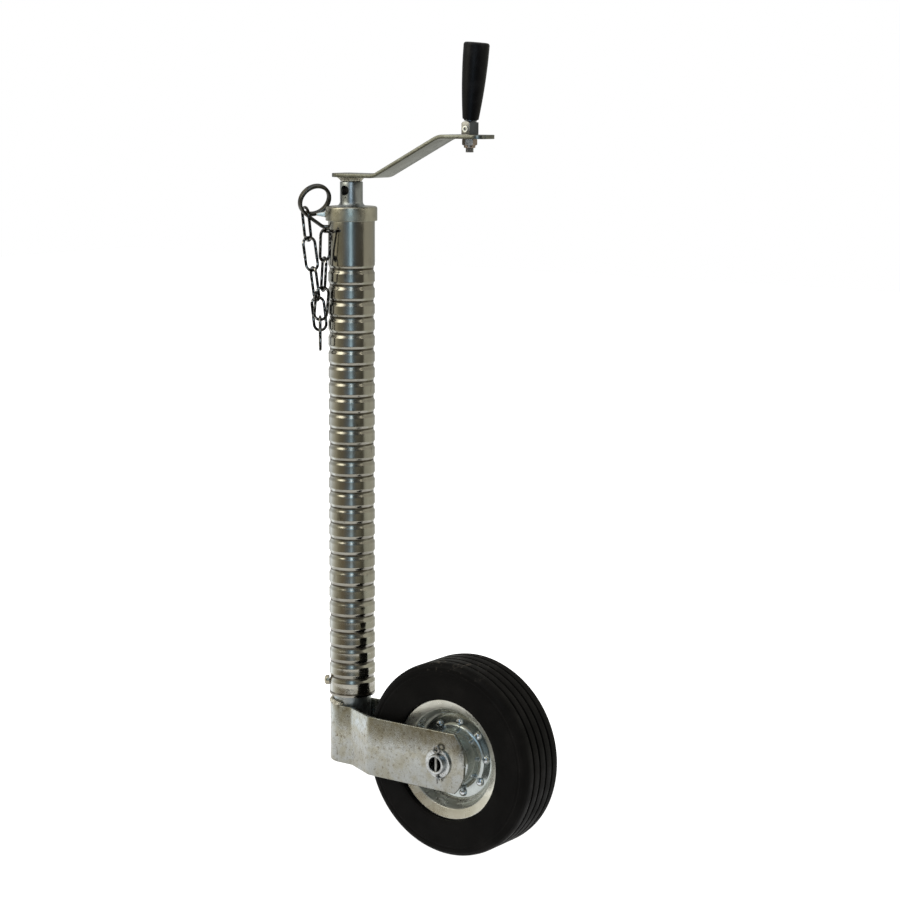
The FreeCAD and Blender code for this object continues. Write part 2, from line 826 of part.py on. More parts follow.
def make_grip():
    """Slightly bulging conical grip, blind at the top, free to spin on its rod."""
    body = new_body("grip")
    low = S.ear_radius + S.grip_clearance + S.shoulder_height + S.grip_clearance
    high = low + S.grip_length
    bore = S.stem_radius + S.grip_clearance
    bore_top = high - S.grip_end_wall + S.grip_clearance
    outline = [
        (ZERO, bore_top),
        (bore, bore_top),
        (bore, low),
        (S.grip_foot_radius, low),
        (S.grip_head_radius, high),
        (ZERO, high),
    ]
    middle = (S.grip_foot_radius + S.grip_head_radius) * 0.5 + S.grip_bulge
    side = {3: (middle, (low + high) * 0.5)}
    revolve(body, draw_outline(new_sketch(body, "XZ_Plane"), outline, side))
    round_edges(body, lambda edge: is_circle(edge, S.grip_head_radius, high, "z"), S.grip_rounding)
    place(body, x=S.bolt_reach, z=pivot_height, axis=(0, 1, 0), angle=S.grip_lean)
    return keep(body, "grip")


# Leg: lift nut on the spindle, leg tube, fork and axle


def make_lift_nut():
    """Flanged nut on the screw; the leg tube bears against its flange and swivels on its barrel."""
    body = new_body("lift_nut")
    bore = S.screw_radius + S.screw_clearance
    barrel = leg_bore - S.turning_clearance
    outline = [
        (bore, -S.lift_nut_height),
        (barrel, -S.lift_nut_height),
        (barrel, S.turning_clearance),
        (S.leg_radius, S.turning_clearance),
        (S.leg_radius, S.turning_clearance + S.lift_nut_flange),
        (bore, S.turning_clearance + S.lift_nut_flange),
    ]
    revolve(body, draw_outline(new_sketch(body, "XZ_Plane"), outline))
    place(body, z=leg_top)
    return keep(body, "lift_nut")


def make_inner_tube():
    body = new_body("inner_tube")
    low = -(S.fork_drop + S.fork_height - S.leg_recess)
    outline = [(leg_bore, low), (S.leg_radius, low), (S.leg_radius, S.leg_top), (leg_bore, S.leg_top)]
    revolve(body, draw_outline(new_sketch(body, "XZ_Plane"), outline))
    place(body, z=foot)
    return keep(body, "inner_tube")


def fork_side(side, offset):
    """Plan points of one arm's face from the U to the nose, on one side of the middle plane."""
    flare = S.fork_flare
    half_turn = sine(flare) / (cosine(flare) + 1)
    spread = S.fork_half_width - fork_outer
    first = S.fork_straight + offset * half_turn
    second = S.fork_straight + spread * cosine(flare) / sine(flare) + offset * half_turn
    near = (fork_outer - offset) * side
    far = (S.fork_half_width - offset) * side
    return [(ZERO, near), (first, near), (second, far), (S.fork_nose + 5, far)]


def make_fork():
    """One strap bent round the leg tube, flared to both sides of the wheel, with a round nose."""
    body = new_body("fork")
    outer_near = fork_side(-1, ZERO)
    outer_far = fork_side(1, ZERO)
    inner_near = fork_side(-1, S.fork_thickness)
    inner_far = fork_side(1, S.fork_thickness)
    outline = outer_near[::-1] + outer_far + inner_far[::-1] + inner_near
    arcs = {3: (-fork_outer, ZERO), 11: (-fork_inner, ZERO)}
    strap = draw_outline(new_sketch(body, "XY_Plane"), outline, arcs)
    pad(body, strap, S.fork_height, "strap", symmetric=False, reverse=True)

    small = S.fork_bend_radius
    large = S.fork_bend_radius + S.fork_thickness
    tight = [outer_near[1], outer_far[1], inner_near[2], inner_far[2]]
    wide = [inner_near[1], inner_far[1], outer_near[2], outer_far[2]]
    round_edges(body, lambda edge: any(is_upright(edge, x, y) for x, y in tight), small, "tight_bends")
    round_edges(body, lambda edge: any(is_upright(edge, x, y) for x, y in wide), large, "wide_bends")

    low = -S.fork_height
    beyond = S.fork_nose + 20
    margin = 5
    nose = [
        (S.fork_corner, ZERO + margin),
        (S.fork_corner, ZERO),
        (S.fork_corner, low),
        (S.fork_corner, low - margin),
        (beyond, low - margin),
        (beyond, ZERO + margin),
    ]
    arc = {1: (S.fork_nose, low * 0.5)}
    cut(body, draw_outline(new_sketch(body, "XZ_Plane"), nose, arc), CLEAR * 3, "nose")

    drop = -(S.axle_drop - S.fork_drop)
    hole = draw_circle(new_sketch(body, "XZ_Plane"), S.axle_reach, drop, S.axle_radius + S.axle_clearance)
    cut(body, hole, CLEAR * 3, "axle_holes")
    place(body, z=fork_top)
    return keep(body, "fork")


def make_fork_weld():
    """Weld bead on the strap's top edge, round the back of the leg tube."""
    body = new_body("fork_weld")
    inner = S.leg_radius + S.seat_gap
    outer = inner + S.fork_weld_width
    outline = [(inner, ZERO), (outer, ZERO), (inner, S.fork_weld_height)]
    arc = {1: (inner + S.fork_weld_width * 0.68, S.fork_weld_height * 0.62)}
    sketch = draw_outline(new_sketch(body, "XZ_Plane"), outline, arc)
    revolve(body, sketch, "bead", angle=200)
    middle = body.Shape.CenterOfMass
    turn = 180 - math.degrees(math.atan2(middle.y, middle.x))
    place(body, z=fork_top, axis=(0, 0, 1), angle=turn)
    return keep(body, "fork_weld")


def make_axle():
    """Tubular axle through both arms, cross-drilled for the split pins."""
    body = new_body("axle")
    outline = [
        (S.axle_bore, -S.axle_end),
        (S.axle_radius, -S.axle_end),
        (S.axle_radius, S.axle_end),
        (S.axle_bore, S.axle_end),
    ]
    revolve(body, draw_outline(new_sketch(body, "XY_Plane"), outline))
    holes = new_sketch(body, "XY_Plane")
    draw_circle(holes, ZERO, -pin_offset, S.pin_radius + S.pin_hole_clearance)
    draw_circle(holes, ZERO, pin_offset, S.pin_radius + S.pin_hole_clearance)
    cut(body, holes, CLEAR, "pin_holes")
    place(body, x=S.axle_reach, z=axle_height)
    return keep(body, "axle")


def axle_ring(label, inner, outer, start, finish, side):
    """A ring on the axle between two distances from the middle plane, on one side."""
    body = new_body(label)
    outline = [
        (inner, start * side),
        (outer, start * side),
        (outer, finish * side),
        (inner, finish * side),
    ]
    revolve(body, draw_outline(new_sketch(body, "XY_Plane"), outline))
    place(body, x=S.axle_reach, z=axle_height)
    return keep(body, label)


def make_split_pin(label, side):
    """Split pin: an eye above the axle, a shank through it, and two ends bent apart below."""
    shank_length = S.axle_radius * 2 + S.pin_eye_radius * 0.6 + 1.5
    top = S.axle_radius + S.pin_eye_radius * 0.6
    shank = solid_of("Cylinder", f"{label}_shank", Radius=S.pin_radius, Height=shank_length)
    bind(shank, "Placement.Base.z", top - shank_length)
    eye = solid_of("Torus", f"{label}_eye", Radius1=S.pin_eye_radius, Radius2=S.pin_radius * 0.8)
    eye.Placement = FreeCAD.Placement(
        FreeCAD.Vector(0, 0, 0), FreeCAD.Rotation(FreeCAD.Vector(1, 0, 0), 90)
    )
    bind(eye, "Placement.Base.z", top + S.pin_eye_radius)
    pieces = [shank, eye]
    spreads = ((S.pin_spread_long, 1.0, "long"), (S.pin_spread_short, 0.75, "short"))
    for spread, share, word in spreads:
        leg = solid_of("Cylinder", f"{label}_{word}", Radius=S.pin_radius * 0.62, Height=S.pin_leg * share)
        leg.Placement = FreeCAD.Placement(
            FreeCAD.Vector(0, 0, 0), FreeCAD.Rotation(FreeCAD.Vector(0, 1, 0), 180 - spread.value)
        )
        bind(leg, "Placement.Base.z", top - shank_length + S.pin_radius * 0.3)
        pieces.append(leg)
    pin = fuse(label, pieces)
    place(pin, x=S.axle_reach, y=pin_offset * side, z=axle_height)
    return keep(pin, label)


# Wheel


def rim_back(offset):
    """Outline of the rim half's tyre side at a distance off the sheet."""
    return [
        (S.rim_lip_radius, S.rim_lip_offset - S.sheet - offset),
        (S.rim_bead_radius + S.sheet + offset, S.rim_bead_offset - S.sheet - offset),
        (S.rim_well_radius + S.sheet + offset, S.rim_disc_offset - S.sheet),
    ]


def make_tyre():
    """Solid tyre with square shoulders and circumferential tread grooves."""
    body = new_body("tyre")
    back = rim_back(S.tyre_seat)
    over_lip = S.rim_lip_radius + S.lip_gap
    shoulder = S.tyre_shoulder
    inset = shoulder * (1 - math.sqrt(0.5))
    half = [
        back[2],
        back[1],
        (over_lip, back[0][1]),
        (over_lip, S.tyre_half_width),
        (S.tyre_radius - shoulder, S.tyre_half_width),
        (S.tyre_radius, S.tyre_half_width - shoulder),
    ]
    mirror = [(x, -y) for x, y in half]
    outline = half + mirror[::-1]
    arcs = {
        4: (S.tyre_radius - inset, S.tyre_half_width - inset),
        6: (S.tyre_radius - inset, -(S.tyre_half_width - inset)),
    }
    revolve(body, draw_outline(new_sketch(body, "XY_Plane"), outline, arcs))
    start = -S.tread_pitch * 1.5
    half_groove = S.tread_groove_width * 0.5
    floor = S.tyre_radius - S.tread_groove_depth
    slot = [
        (floor, start - half_groove * 0.6),
        (S.tyre_radius + 1, start - half_groove),
        (S.tyre_radius + 1, start + half_groove),
        (floor, start + half_groove * 0.6),
    ]
    first = groove(body, draw_outline(new_sketch(body, "XY_Plane"), slot), "tread")
    repeat_along(body, [first], "Y_Axis", S.tread_pitch, as_size(4))
    place(body, x=S.axle_reach, z=axle_height)
    return keep(body, "tyre")


def rivet_holes(body, low, high):
    """Drills the ring of rivet holes through the sheet between two offsets."""
    sketch = new_sketch(body, "XZ_Plane", lift=-(low + high) * 0.5)
    x = S.hub_rivet_circle * cosine(S.hub_rivet_phase)
    z = S.hub_rivet_circle * sine(S.hub_rivet_phase)
    draw_circle(sketch, x, z, S.hub_rivet_radius + S.rivet_clearance)
    hole = cut(body, sketch, (high - low) + 2, "rivet_hole")
    repeat_round(body, [hole], "Y_Axis", S.hub_rivet_count)


def place_wheel_half(body, side):
    """Puts a wheel half that is modelled towards +Y on its side of the middle plane."""
    place(body, x=S.axle_reach, z=axle_height, axis=(0, 0, 1), angle=0 if side > 0 else 180)


def make_rim(label, side):
    """Pressed rim half: rolled lip, bead seat, well, disc and the throat that meets the other half."""
    body = new_body(label)
    back = rim_back(ZERO)
    throat = S.rim_throat_radius
    disc = S.rim_disc_offset
    outline = [
        (S.rim_lip_radius, S.rim_lip_offset),
        (S.rim_bead_radius, S.rim_bead_offset),
        (S.rim_well_radius, disc),
        (throat, disc),
        (throat, ZERO),
        (throat + S.sheet, ZERO),
        (throat + S.sheet, disc - S.sheet),
        back[2],
        back[1],
        back[0],
    ]
    revolve(body, draw_outline(new_sketch(body, "XY_Plane"), outline))

    def at_root(edge):
        bead = is_circle(edge, S.rim_bead_radius, S.rim_bead_offset, "y")
        return bead or is_circle(edge, S.rim_well_radius, disc, "y")

    round_edges(body, at_root, S.rim_root_rounding)
    rivet_holes(body, disc - S.sheet, disc)
    place_wheel_half(body, side)
    return keep(body, label)


def make_hub(label, side):
    """Pressed hub cup: flange on the rim's disc, tapering cup, closed nose round the axle."""
    body = new_body(label)
    low = S.rim_disc_offset
    sheet_top = low + S.sheet
    nose = S.hub_nose_offset
    outline = [
        (S.hub_flange_radius, low),
        (S.hub_flange_radius, sheet_top),
        (S.hub_root_radius, sheet_top),
        (S.hub_nose_radius, nose),
        (S.hub_mouth_radius, nose),
        (S.hub_mouth_radius, nose - S.sheet),
        (S.hub_nose_radius - S.sheet, nose - S.sheet),
        (S.hub_root_radius - S.sheet, low),
    ]
    revolve(body, draw_outline(new_sketch(body, "XY_Plane"), outline))
    round_edges(body, lambda edge: is_circle(edge, S.hub_root_radius, sheet_top, "y"), S.hub_root_rounding)
    round_edges(body, lambda edge: is_circle(edge, S.hub_nose_radius, nose, "y"), S.hub_nose_rounding, "nose")
    rivet_holes(body, low, sheet_top)
    place_wheel_half(body, side)
    return keep(body, label)


def make_hub_rivets(label, side):
    """The ring of domed rivets that joins one hub cup to its rim half."""
    body = new_body(label)
    outer = S.rim_disc_offset + S.sheet
    inner = S.rim_disc_offset - S.sheet
    crown = outer + S.hub_rivet_dome
    tail = inner - S.hub_rivet_tail
    sketch = new_sketch(body, "XY_Plane")
    circle = S.hub_rivet_circle
    head = S.hub_rivet_head
    outline = [
        (circle, tail),
        (circle + S.hub_rivet_tail_radius, tail),
        (circle + S.hub_rivet_tail_radius, inner),
        (circle + S.hub_rivet_radius, inner),
        (circle + S.hub_rivet_radius, outer),
        (circle + head, outer),
        (circle + S.hub_rivet_crown, crown),
        (circle, crown),
    ]
    bulge = (circle + head * 0.78, outer + S.hub_rivet_dome * 0.64)
    draw_outline(sketch, outline, {5: bulge})
    axis = sketch.addGeometry(
        Part.LineSegment(
            FreeCAD.Vector(circle.value, 0, 0),
            FreeCAD.Vector(circle.value, 1, 0),
        ),
        True,
    )
    fix_point(sketch, axis, 1, (circle, ZERO))
    fix_point(sketch, axis, 2, (circle, as_size(1)))
    rivet = feature(body, "Revolution", sketch, "rivet")
    rivet.ReferenceAxis = (sketch, ["Axis0"])
    rivet.Angle = 360
    doc.recompute()
    repeat_round(body, [rivet], "Y_Axis", S.hub_rivet_count)
    turn = -S.hub_rivet_phase.value
    flip = FreeCAD.Rotation(FreeCAD.Vector(0, 0, 1), 0 if side > 0 else 180)
    spin = FreeCAD.Rotation(FreeCAD.Vector(0, 1, 0), turn)
    body.Placement = FreeCAD.Placement(FreeCAD.Vector(0, 0, 0), flip.multiply(spin))
    place(body, x=S.axle_reach, z=axle_height)
    return keep(body, label)


# Stud, ring pin, eye and chain on the tube

# The chain hangs beside the tube. Its places are given by three distances from the tube's axis:
# to the side (right), to the front (toward) and up from the tube's foot (height).

UPRIGHT = FreeCAD.Vector(0, 0, 1)
CROSS = FreeCAD.Vector(1, 0, 0)


def hang_point(right, toward, height, base=foot):
    """The place in the row's frame of a point given by its three distances."""
    across = S.hang_azimuth
    x = right * cosine(across) + toward * sine(across)
    y = right * sine(across) - toward * cosine(across)
    return x, y, base + height


def vector_of(point):
    return FreeCAD.Vector(*[as_size(value).value for value in point])


def rod_between(label, start, finish, radius):
    """A round rod between two points of the row's frame, rounded at its far end."""
    span = vector_of(finish) - vector_of(start)
    rod = solid_of("Cylinder", label, Radius=radius, Height=as_size(span.Length))
    rod.Placement = FreeCAD.Placement(FreeCAD.Vector(0, 0, 0), FreeCAD.Rotation(UPRIGHT, span))
    for letter, value in zip("xyz", start):
        bind(rod, f"Placement.Base.{letter}", value)
    ball = solid_of("Sphere", f"{label}_end", Radius=radius)
    for letter, value in zip("xyz", finish):
        bind(ball, f"Placement.Base.{letter}", value)
    return [rod, ball]


def make_ring_pin():
    """Spring wire wound twice into a finger ring; its tail is parked in the hole under the cap."""
    tilt = FreeCAD.Rotation(UPRIGHT, S.hang_azimuth.value)
    tilt = tilt.multiply(FreeCAD.Rotation(CROSS, 90))
    tilt = tilt.multiply(FreeCAD.Rotation(UPRIGHT, S.ring_roll.value))
    tilt = tilt.multiply(FreeCAD.Rotation(CROSS, S.ring_tilt.value))
    centre = hang_point(S.ring_right, S.ring_toward, S.ring_rise, ZERO)
    pieces = []
    for word, side in (("back", -1), ("front", 1)):
        coil = solid_of("Torus", f"ring_coil_{word}", Radius1=S.ring_radius, Radius2=S.ring_wire)
        coil.Placement = FreeCAD.Placement(FreeCAD.Vector(0, 0, 0), tilt)
        offset = tilt.multVec(UPRIGHT * side * 0.99)
        for letter, place_of, part in zip("xyz", centre, offset):
            bind(coil, f"Placement.Base.{letter}", place_of + S.ring_wire * part)
        pieces.append(coil)
    leave = tilt.multVec(FreeCAD.Vector(-1, 0, 0))
    front = tilt.multVec(UPRIGHT)
    start = [at + S.ring_radius * out + S.ring_wire * up for at, out, up in zip(centre, leave, front)]
    corner = hang_point(-(S.tube_radius + S.tail_stand_off), ZERO, -S.tail_drop, ZERO)
    end = hang_point(-(S.tube_radius - S.tail_depth), ZERO, -S.tail_drop, ZERO)
    pieces += rod_between("ring_tail", start, corner, S.ring_wire)
    pieces += rod_between("ring_tip", corner, end, S.ring_wire * 0.98)
    whole = fuse("ring_pin", pieces)
    place(whole, z=tube_top)
    return keep(whole, "ring_pin")


def make_chain_eyelet():
    """Eye on a short shank that stands on the tube."""
    start = S.tube_radius + S.seat_gap
    reach = S.tube_radius + S.eye_shank + S.eye_radius
    shank = solid_of(
        "Cylinder", "eye_shank_rod", Radius=S.eye_shank_radius, Height=S.eye_shank - S.seat_gap
    )
    shank.Placement = FreeCAD.Placement(
        FreeCAD.Vector(0, 0, 0), FreeCAD.Rotation(FreeCAD.Vector(0, 1, 0), 90)
    )
    bind(shank, "Placement.Base.x", start)
    eye = solid_of("Torus", "eye_ring", Radius1=S.eye_radius, Radius2=S.eye_wire)
    bind(eye, "Placement.Base.x", reach)
    whole = fuse("chain_eyelet", [shank, eye])
    place(whole, z=foot + S.eye_height, axis=(0, 0, 1), angle=S.eye_azimuth)
    return keep(whole, "chain_eyelet")


def make_link(label, top, turn, lean_right, lean_toward):
    """One oval link hung from its top wire; returns the middle of its bottom wire."""
    bend = S.link_width * 0.5 - S.link_wire
    leg = S.link_length - S.link_width
    pieces = []
    for word, angle, height in (("top", 90, -bend), ("bottom", -90, -bend - leg)):
        half = solid_of("Torus", f"{label}_{word}", Radius1=bend, Radius2=S.link_wire)
        half.Angle3 = 180
        half.Placement = FreeCAD.Placement(FreeCAD.Vector(0, 0, 0), FreeCAD.Rotation(CROSS, angle))
        bind(half, "Placement.Base.z", height)
        pieces.append(half)
    for word, side in (("left", -1), ("right", 1)):
        rod = solid_of("Cylinder", f"{label}_{word}", Radius=S.link_wire, Height=leg)
        bind(rod, "Placement.Base.x", bend * side)
        bind(rod, "Placement.Base.z", -bend - leg)
        pieces.append(rod)
    link = fuse(label, pieces)
    slope = math.sqrt(1 + lean_right**2 + lean_toward**2)
    start = hang_point(*top)
    length = S.link_length - S.link_wire * 2
    drop = length / slope
    finish = (top[0] + drop * lean_right, top[1] + drop * lean_toward, top[2] - drop)
    down = vector_of(hang_point(*finish)) - vector_of(start)
    hang = FreeCAD.Rotation(FreeCAD.Vector(0, 0, -1), down)
    hang = hang.multiply(FreeCAD.Rotation(UPRIGHT, S.hang_azimuth.value + turn))
    link.Placement = FreeCAD.Placement(FreeCAD.Vector(0, 0, 0), hang)
    place(link, *start)
    keep(link, label)
    return finish


def hang_links(names, top, poses):
    """Hangs links one in the other; poses gives each one's turn and its lean to the side and front."""
    for name, (turn, lean_right, lean_toward) in zip(names, poses):
        bottom = make_link(name, top, turn, lean_right, lean_toward)
        top = (bottom[0], bottom[1], bottom[2] + S.link_wire * 2 + S.link_slack)


def make_chain():
    """The run that hangs from the ring, and the run that hangs from the eye; their ends are linked."""
    inside = S.ring_radius - S.ring_wire - S.link_wire - S.hang_inset
    ring_top = (
        S.ring_right + inside * cosine(S.hang_angle),
        S.ring_toward - S.hang_depth,
        S.ring_height + inside * sine(S.hang_angle),
    )
    ring_run = ((-60, 0.101, 0.002), (25, 0.131, 0.037), (-65, 0.13, 0.039), (18, 0.111, 0.037))
    hang_links([f"chain_link_{number}" for number in (1, 2, 3, 4)], ring_top, ring_run)

    reach = S.tube_radius + S.eye_shank + S.eye_radius * 2
    aim = S.eye_azimuth - S.hang_azimuth
    eye_top = (
        reach * cosine(aim),
        -reach * sine(aim),
        S.eye_height + S.eye_wire + S.link_wire + S.link_slack,
    )
    eye_run = ((43, -0.034, -0.23), (-73, -0.06, -0.1), (14, -0.09, -0.15), (92, 0.001, -0.025))
    hang_links([f"chain_link_{number}" for number in (8, 7, 6, 5)], eye_top, eye_run)


def make_lower_stud():
    """Domed stud on the side of the tube's foot, seated on the tube."""
    radius = S.tube_radius
    height = S.stud_height
    shank = solid_of("Cylinder", "stud_shank", Radius=S.stud_radius, Height=S.stud_dome * 0.55 + 2)
    shank.Placement = FreeCAD.Placement(
        FreeCAD.Vector(0, 0, 0), FreeCAD.Rotation(FreeCAD.Vector(0, 1, 0), 90)
    )
    bind(shank, "Placement.Base.x", radius - 2)
    bind(shank, "Placement.Base.z", height)
    dome = solid_of("Ellipsoid", "stud_dome", Radius1=S.stud_dome * 0.45, Radius2=S.stud_radius)
    bind(dome, "Radius3", S.stud_radius)
    dome.Placement = FreeCAD.Placement(
        FreeCAD.Vector(0, 0, 0), FreeCAD.Rotation(FreeCAD.Vector(0, 1, 0), 90)
    )
    bind(dome, "Placement.Base.x", radius + S.stud_dome * 0.55)
    bind(dome, "Placement.Base.z", height)
    tube = solid_of("Cylinder", "stud_seat", Radius=radius + S.seat_gap, Height=S.tube_length)
    stud = doc.addObject("Part::Cut", "lower_stud")
    stud.Base = fuse("stud_head", [shank, dome])
    stud.Tool = tube
    place(stud, z=foot, axis=(0, 0, 1), angle=S.side_azimuth)
    return keep(stud, "lower_stud")


make_outer_tube()
make_cap()
make_cap_lug()
make_neck_sleeve()
make_thrust_washer()
make_lower_stud()
make_ring_pin()
make_chain_eyelet()
make_chain()
make_spindle()
make_crank_weld()
make_crank_arm()
make_grip_clevis()
make_clevis_rivet()
make_clevis_nut()
make_grip_stem()
make_grip()
make_lift_nut()
make_inner_tube()
make_fork()
make_fork_weld()
make_axle()
for word, side in (("near", -1), ("far", 1)):
    hole = S.axle_radius + S.axle_clearance
    nose_inner = S.hub_nose_offset - S.sheet
    bearing_start = nose_inner - S.bearing_width
    axle_ring(f"axle_washer_{word}", hole, S.washer_radius, S.fork_half_width, washer_outer, side)
    axle_ring(f"axle_spacer_{word}", hole, S.spacer_radius, nose_inner + S.spacer_gap, arm_inner, side)
    make_split_pin(f"split_pin_{word}", side)
    make_rim(f"rim_{word}", side)
    make_hub(f"hub_{word}", side)
    axle_ring(f"bearing_{word}", hole, S.bearing_radius, bearing_start, nose_inner, side)
    make_hub_rivets(f"hub_rivets_{word}", side)
make_tyre()

doc.recompute()

for thing in doc.Objects:
    if "Invalid" in thing.State or "Error" in thing.State:
        raise RuntimeError(f"{thing.Label} did not compute: {thing.State}")
for thing in SUBPARTS:
    if thing.Shape.isNull() or not thing.Shape.isValid() or not thing.Shape.Solids:
        raise RuntimeError(f"{thing.Label} has no valid shape")

os.makedirs("parts", exist_ok=True)
for thing in SUBPARTS:
    thing.Shape.exportStep(f"parts/{thing.Label}.step")
    print(f"{thing.Label:20s} {len(thing.Shape.Solids)} {thing.Shape.Volume:12.1f}")
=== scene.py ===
"""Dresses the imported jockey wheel: finer surfaces, finishes, a plain studio and the camera."""

import logging
import math
from dataclasses import dataclass
from enum import Enum
from typing import Callable, Optional, Sequence, Union

import bpy
import numpy as np
from mathutils import Matrix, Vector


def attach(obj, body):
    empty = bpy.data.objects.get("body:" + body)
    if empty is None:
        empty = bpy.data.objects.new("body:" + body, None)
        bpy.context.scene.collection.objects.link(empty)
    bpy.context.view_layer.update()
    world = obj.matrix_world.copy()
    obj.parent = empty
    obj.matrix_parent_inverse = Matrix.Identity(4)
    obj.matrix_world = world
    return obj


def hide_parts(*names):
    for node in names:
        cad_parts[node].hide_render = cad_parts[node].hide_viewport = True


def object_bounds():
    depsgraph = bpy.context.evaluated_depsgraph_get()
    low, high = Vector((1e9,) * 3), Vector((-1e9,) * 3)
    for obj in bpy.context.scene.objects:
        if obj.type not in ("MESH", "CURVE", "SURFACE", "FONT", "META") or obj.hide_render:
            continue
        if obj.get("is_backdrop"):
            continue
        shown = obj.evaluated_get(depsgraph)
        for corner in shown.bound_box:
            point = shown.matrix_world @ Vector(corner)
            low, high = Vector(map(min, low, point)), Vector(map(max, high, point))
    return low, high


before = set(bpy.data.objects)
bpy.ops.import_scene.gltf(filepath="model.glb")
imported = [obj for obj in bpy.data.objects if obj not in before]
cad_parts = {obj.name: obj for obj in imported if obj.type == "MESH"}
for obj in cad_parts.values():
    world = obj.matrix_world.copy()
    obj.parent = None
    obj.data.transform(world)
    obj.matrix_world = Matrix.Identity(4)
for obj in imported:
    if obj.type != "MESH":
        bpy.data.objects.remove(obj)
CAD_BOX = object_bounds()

logging.basicConfig(level=logging.INFO, format="%(message)s")
log = logging.getLogger("jockey_wheel")

Array = np.ndarray
Values = Union[float, Array]
Point = Sequence[float]
Socket = bpy.types.NodeSocket
Colour = tuple[float, float, float]
Warp = Callable[[Array, Array, Array], tuple[Array, Array]]

MILLIMETRE = 0.001

# Places in millimetres of the row's frame, whose origin lies on the tube's axis
FOOT = -241.515
TUBE_TOP = FOOT + 508.5
CAP_TOP = TUBE_TOP + 3.0
PLATE_UNDER = FOOT + 541.0
ARM_TOP = PLATE_UNDER + 44.8
JOINT_LIFT = 5.4
PIVOT = ARM_TOP + JOINT_LIFT
FORK_TOP = FOOT - 9.0
AXLE_X = 143.0
AXLE_Z = FOOT - 41.8

# Azimuths in degrees: the camera's own, across which ring pin and chain are laid out, the one of the
# cap's lug and the foot stud, and the chain eye's
VIEW = 38.5
LUG_SIDE = -141.5
EYE_SIDE = -97.5

TUBE_RADIUS = 24.0
GROOVES = 27
GROOVE_PITCH = 16.49
FIRST_GROOVE = 18.9
TYRE_RADIUS = 100.0

# The steps in which an edge is rounded, and the angle from which an edge stays sharp
EDGE_TURN = np.radians([90.0, 60.0, 30.0, 0.0])
CREASE = 38.0


# Places and shapes


@dataclass(frozen=True)
class Place:
    """An origin and three axes, in millimetres of the row's frame, on which a shape is laid out."""

    origin: Point = (0.0, 0.0, 0.0)
    x: Point = (1.0, 0.0, 0.0)
    y: Point = (0.0, 1.0, 0.0)
    z: Point = (0.0, 0.0, 1.0)

    def of(self, points: Array) -> Array:
        """Points of the row's frame for points given along the three axes: o + a x + b y + c z."""
        return np.asarray(self.origin) + points @ np.array([self.x, self.y, self.z], float)


def upright_at(height: float, x: float = 0.0) -> Place:
    """A place on an upright axis, at a height of the row's frame."""
    return Place((x, 0.0, height))


def facing_front(x: float, height: float) -> Place:
    """A place whose x axis runs along the row's own, whose y axis points up and z axis to the near side."""
    return Place((x, 0.0, height), (1, 0, 0), (0, 0, 1), (0, -1, 0))


def wheel_side(side: int) -> Place:
    """A place on the axle whose z axis points out of the wheel, to -Y on the near side."""
    return Place((AXLE_X, 0.0, AXLE_Z), (1, 0, 0), (0, 0, side), (0, side, 0))


def directions(azimuth: float) -> tuple[Array, Array]:
    """The level directions out from the tube at an azimuth in degrees, and square to it."""
    turn = math.radians(azimuth)
    return np.array([math.cos(turn), math.sin(turn), 0.0]), np.array([-math.sin(turn), math.cos(turn), 0.0])


@dataclass
class Shape:
    """A closed surface as whole arrays: points in millimetres, faces of four and of three corners."""

    points: Array
    quads: Array
    tris: Array

    def __add__(self, other: "Shape") -> "Shape":
        """Both shapes in one, the second one's faces counted on from the first one's points."""
        shift = len(self.points)
        return Shape(
            np.vstack([self.points, other.points]),
            np.vstack([self.quads, other.quads + shift]),
            np.vstack([self.tris, other.tris + shift]),
        )

    def outward(self) -> "Shape":
        """Turns every face round where the enclosed volume, a sum of corner products, is negative."""
        halves = np.vstack([self.quads[:, [0, 1, 2]], self.quads[:, [0, 2, 3]], self.tris])
        a, b, c = (self.points[halves[:, k]] for k in range(3))
        if np.einsum("ij,ij->i", a, np.cross(b, c)).sum() < 0:
            return Shape(self.points, self.quads[:, ::-1], self.tris[:, ::-1])
        return self


def unit(vectors: Array) -> Array:
    """Each vector divided by its length."""
    vectors = np.asarray(vectors, float)
    return vectors / np.linalg.norm(vectors, axis=-1, keepdims=True)


def weave(rows: int, columns: int, wrap_rows: bool, wrap_columns: bool = True) -> Array:
    """Faces of a grid of points: corner (i, j) is point i * columns + j, and a wrap joins last to first."""
    i = np.arange(rows if wrap_rows else rows - 1)[:, None]
    j = np.arange(columns if wrap_columns else columns - 1)[None, :]
    k, m = (i + 1) % rows, (j + 1) % columns
    corners = [i * columns + j, i * columns + m, k * columns + m, k * columns + j]
    return np.stack(np.broadcast_arrays(*corners), -1).reshape(-1, 4)


def fan(ring: Array, tip: int) -> Array:
    """Triangles between a closed ring of points and one tip."""
    return np.stack([ring, np.roll(ring, -1), np.full(len(ring), tip)], 1)


def lofted(rings: Array, tips: Sequence[Point] = (), place: Place = Place()) -> Shape:
    """Joins closed rings of points, each one to the next.

    Args:
        rings: the points, as one row for each ring.
        tips: the points that close the first and the last ring; without them these two are joined.
        place: where the points are laid out.

    Returns:
        The closed surface, facing outwards.
    """
    rows, columns = rings.shape[:2]
    points = rings.reshape(-1, 3)
    tris = np.zeros((0, 3), int)
    if len(tips):
        ring, count = np.arange(columns), len(points)
        tris = np.vstack([fan(ring, count)[:, ::-1], fan(ring + count - columns, count + 1)])
        points = np.vstack([points, tips])
    return Shape(place.of(points), weave(rows, columns, not len(tips)), tris).outward()


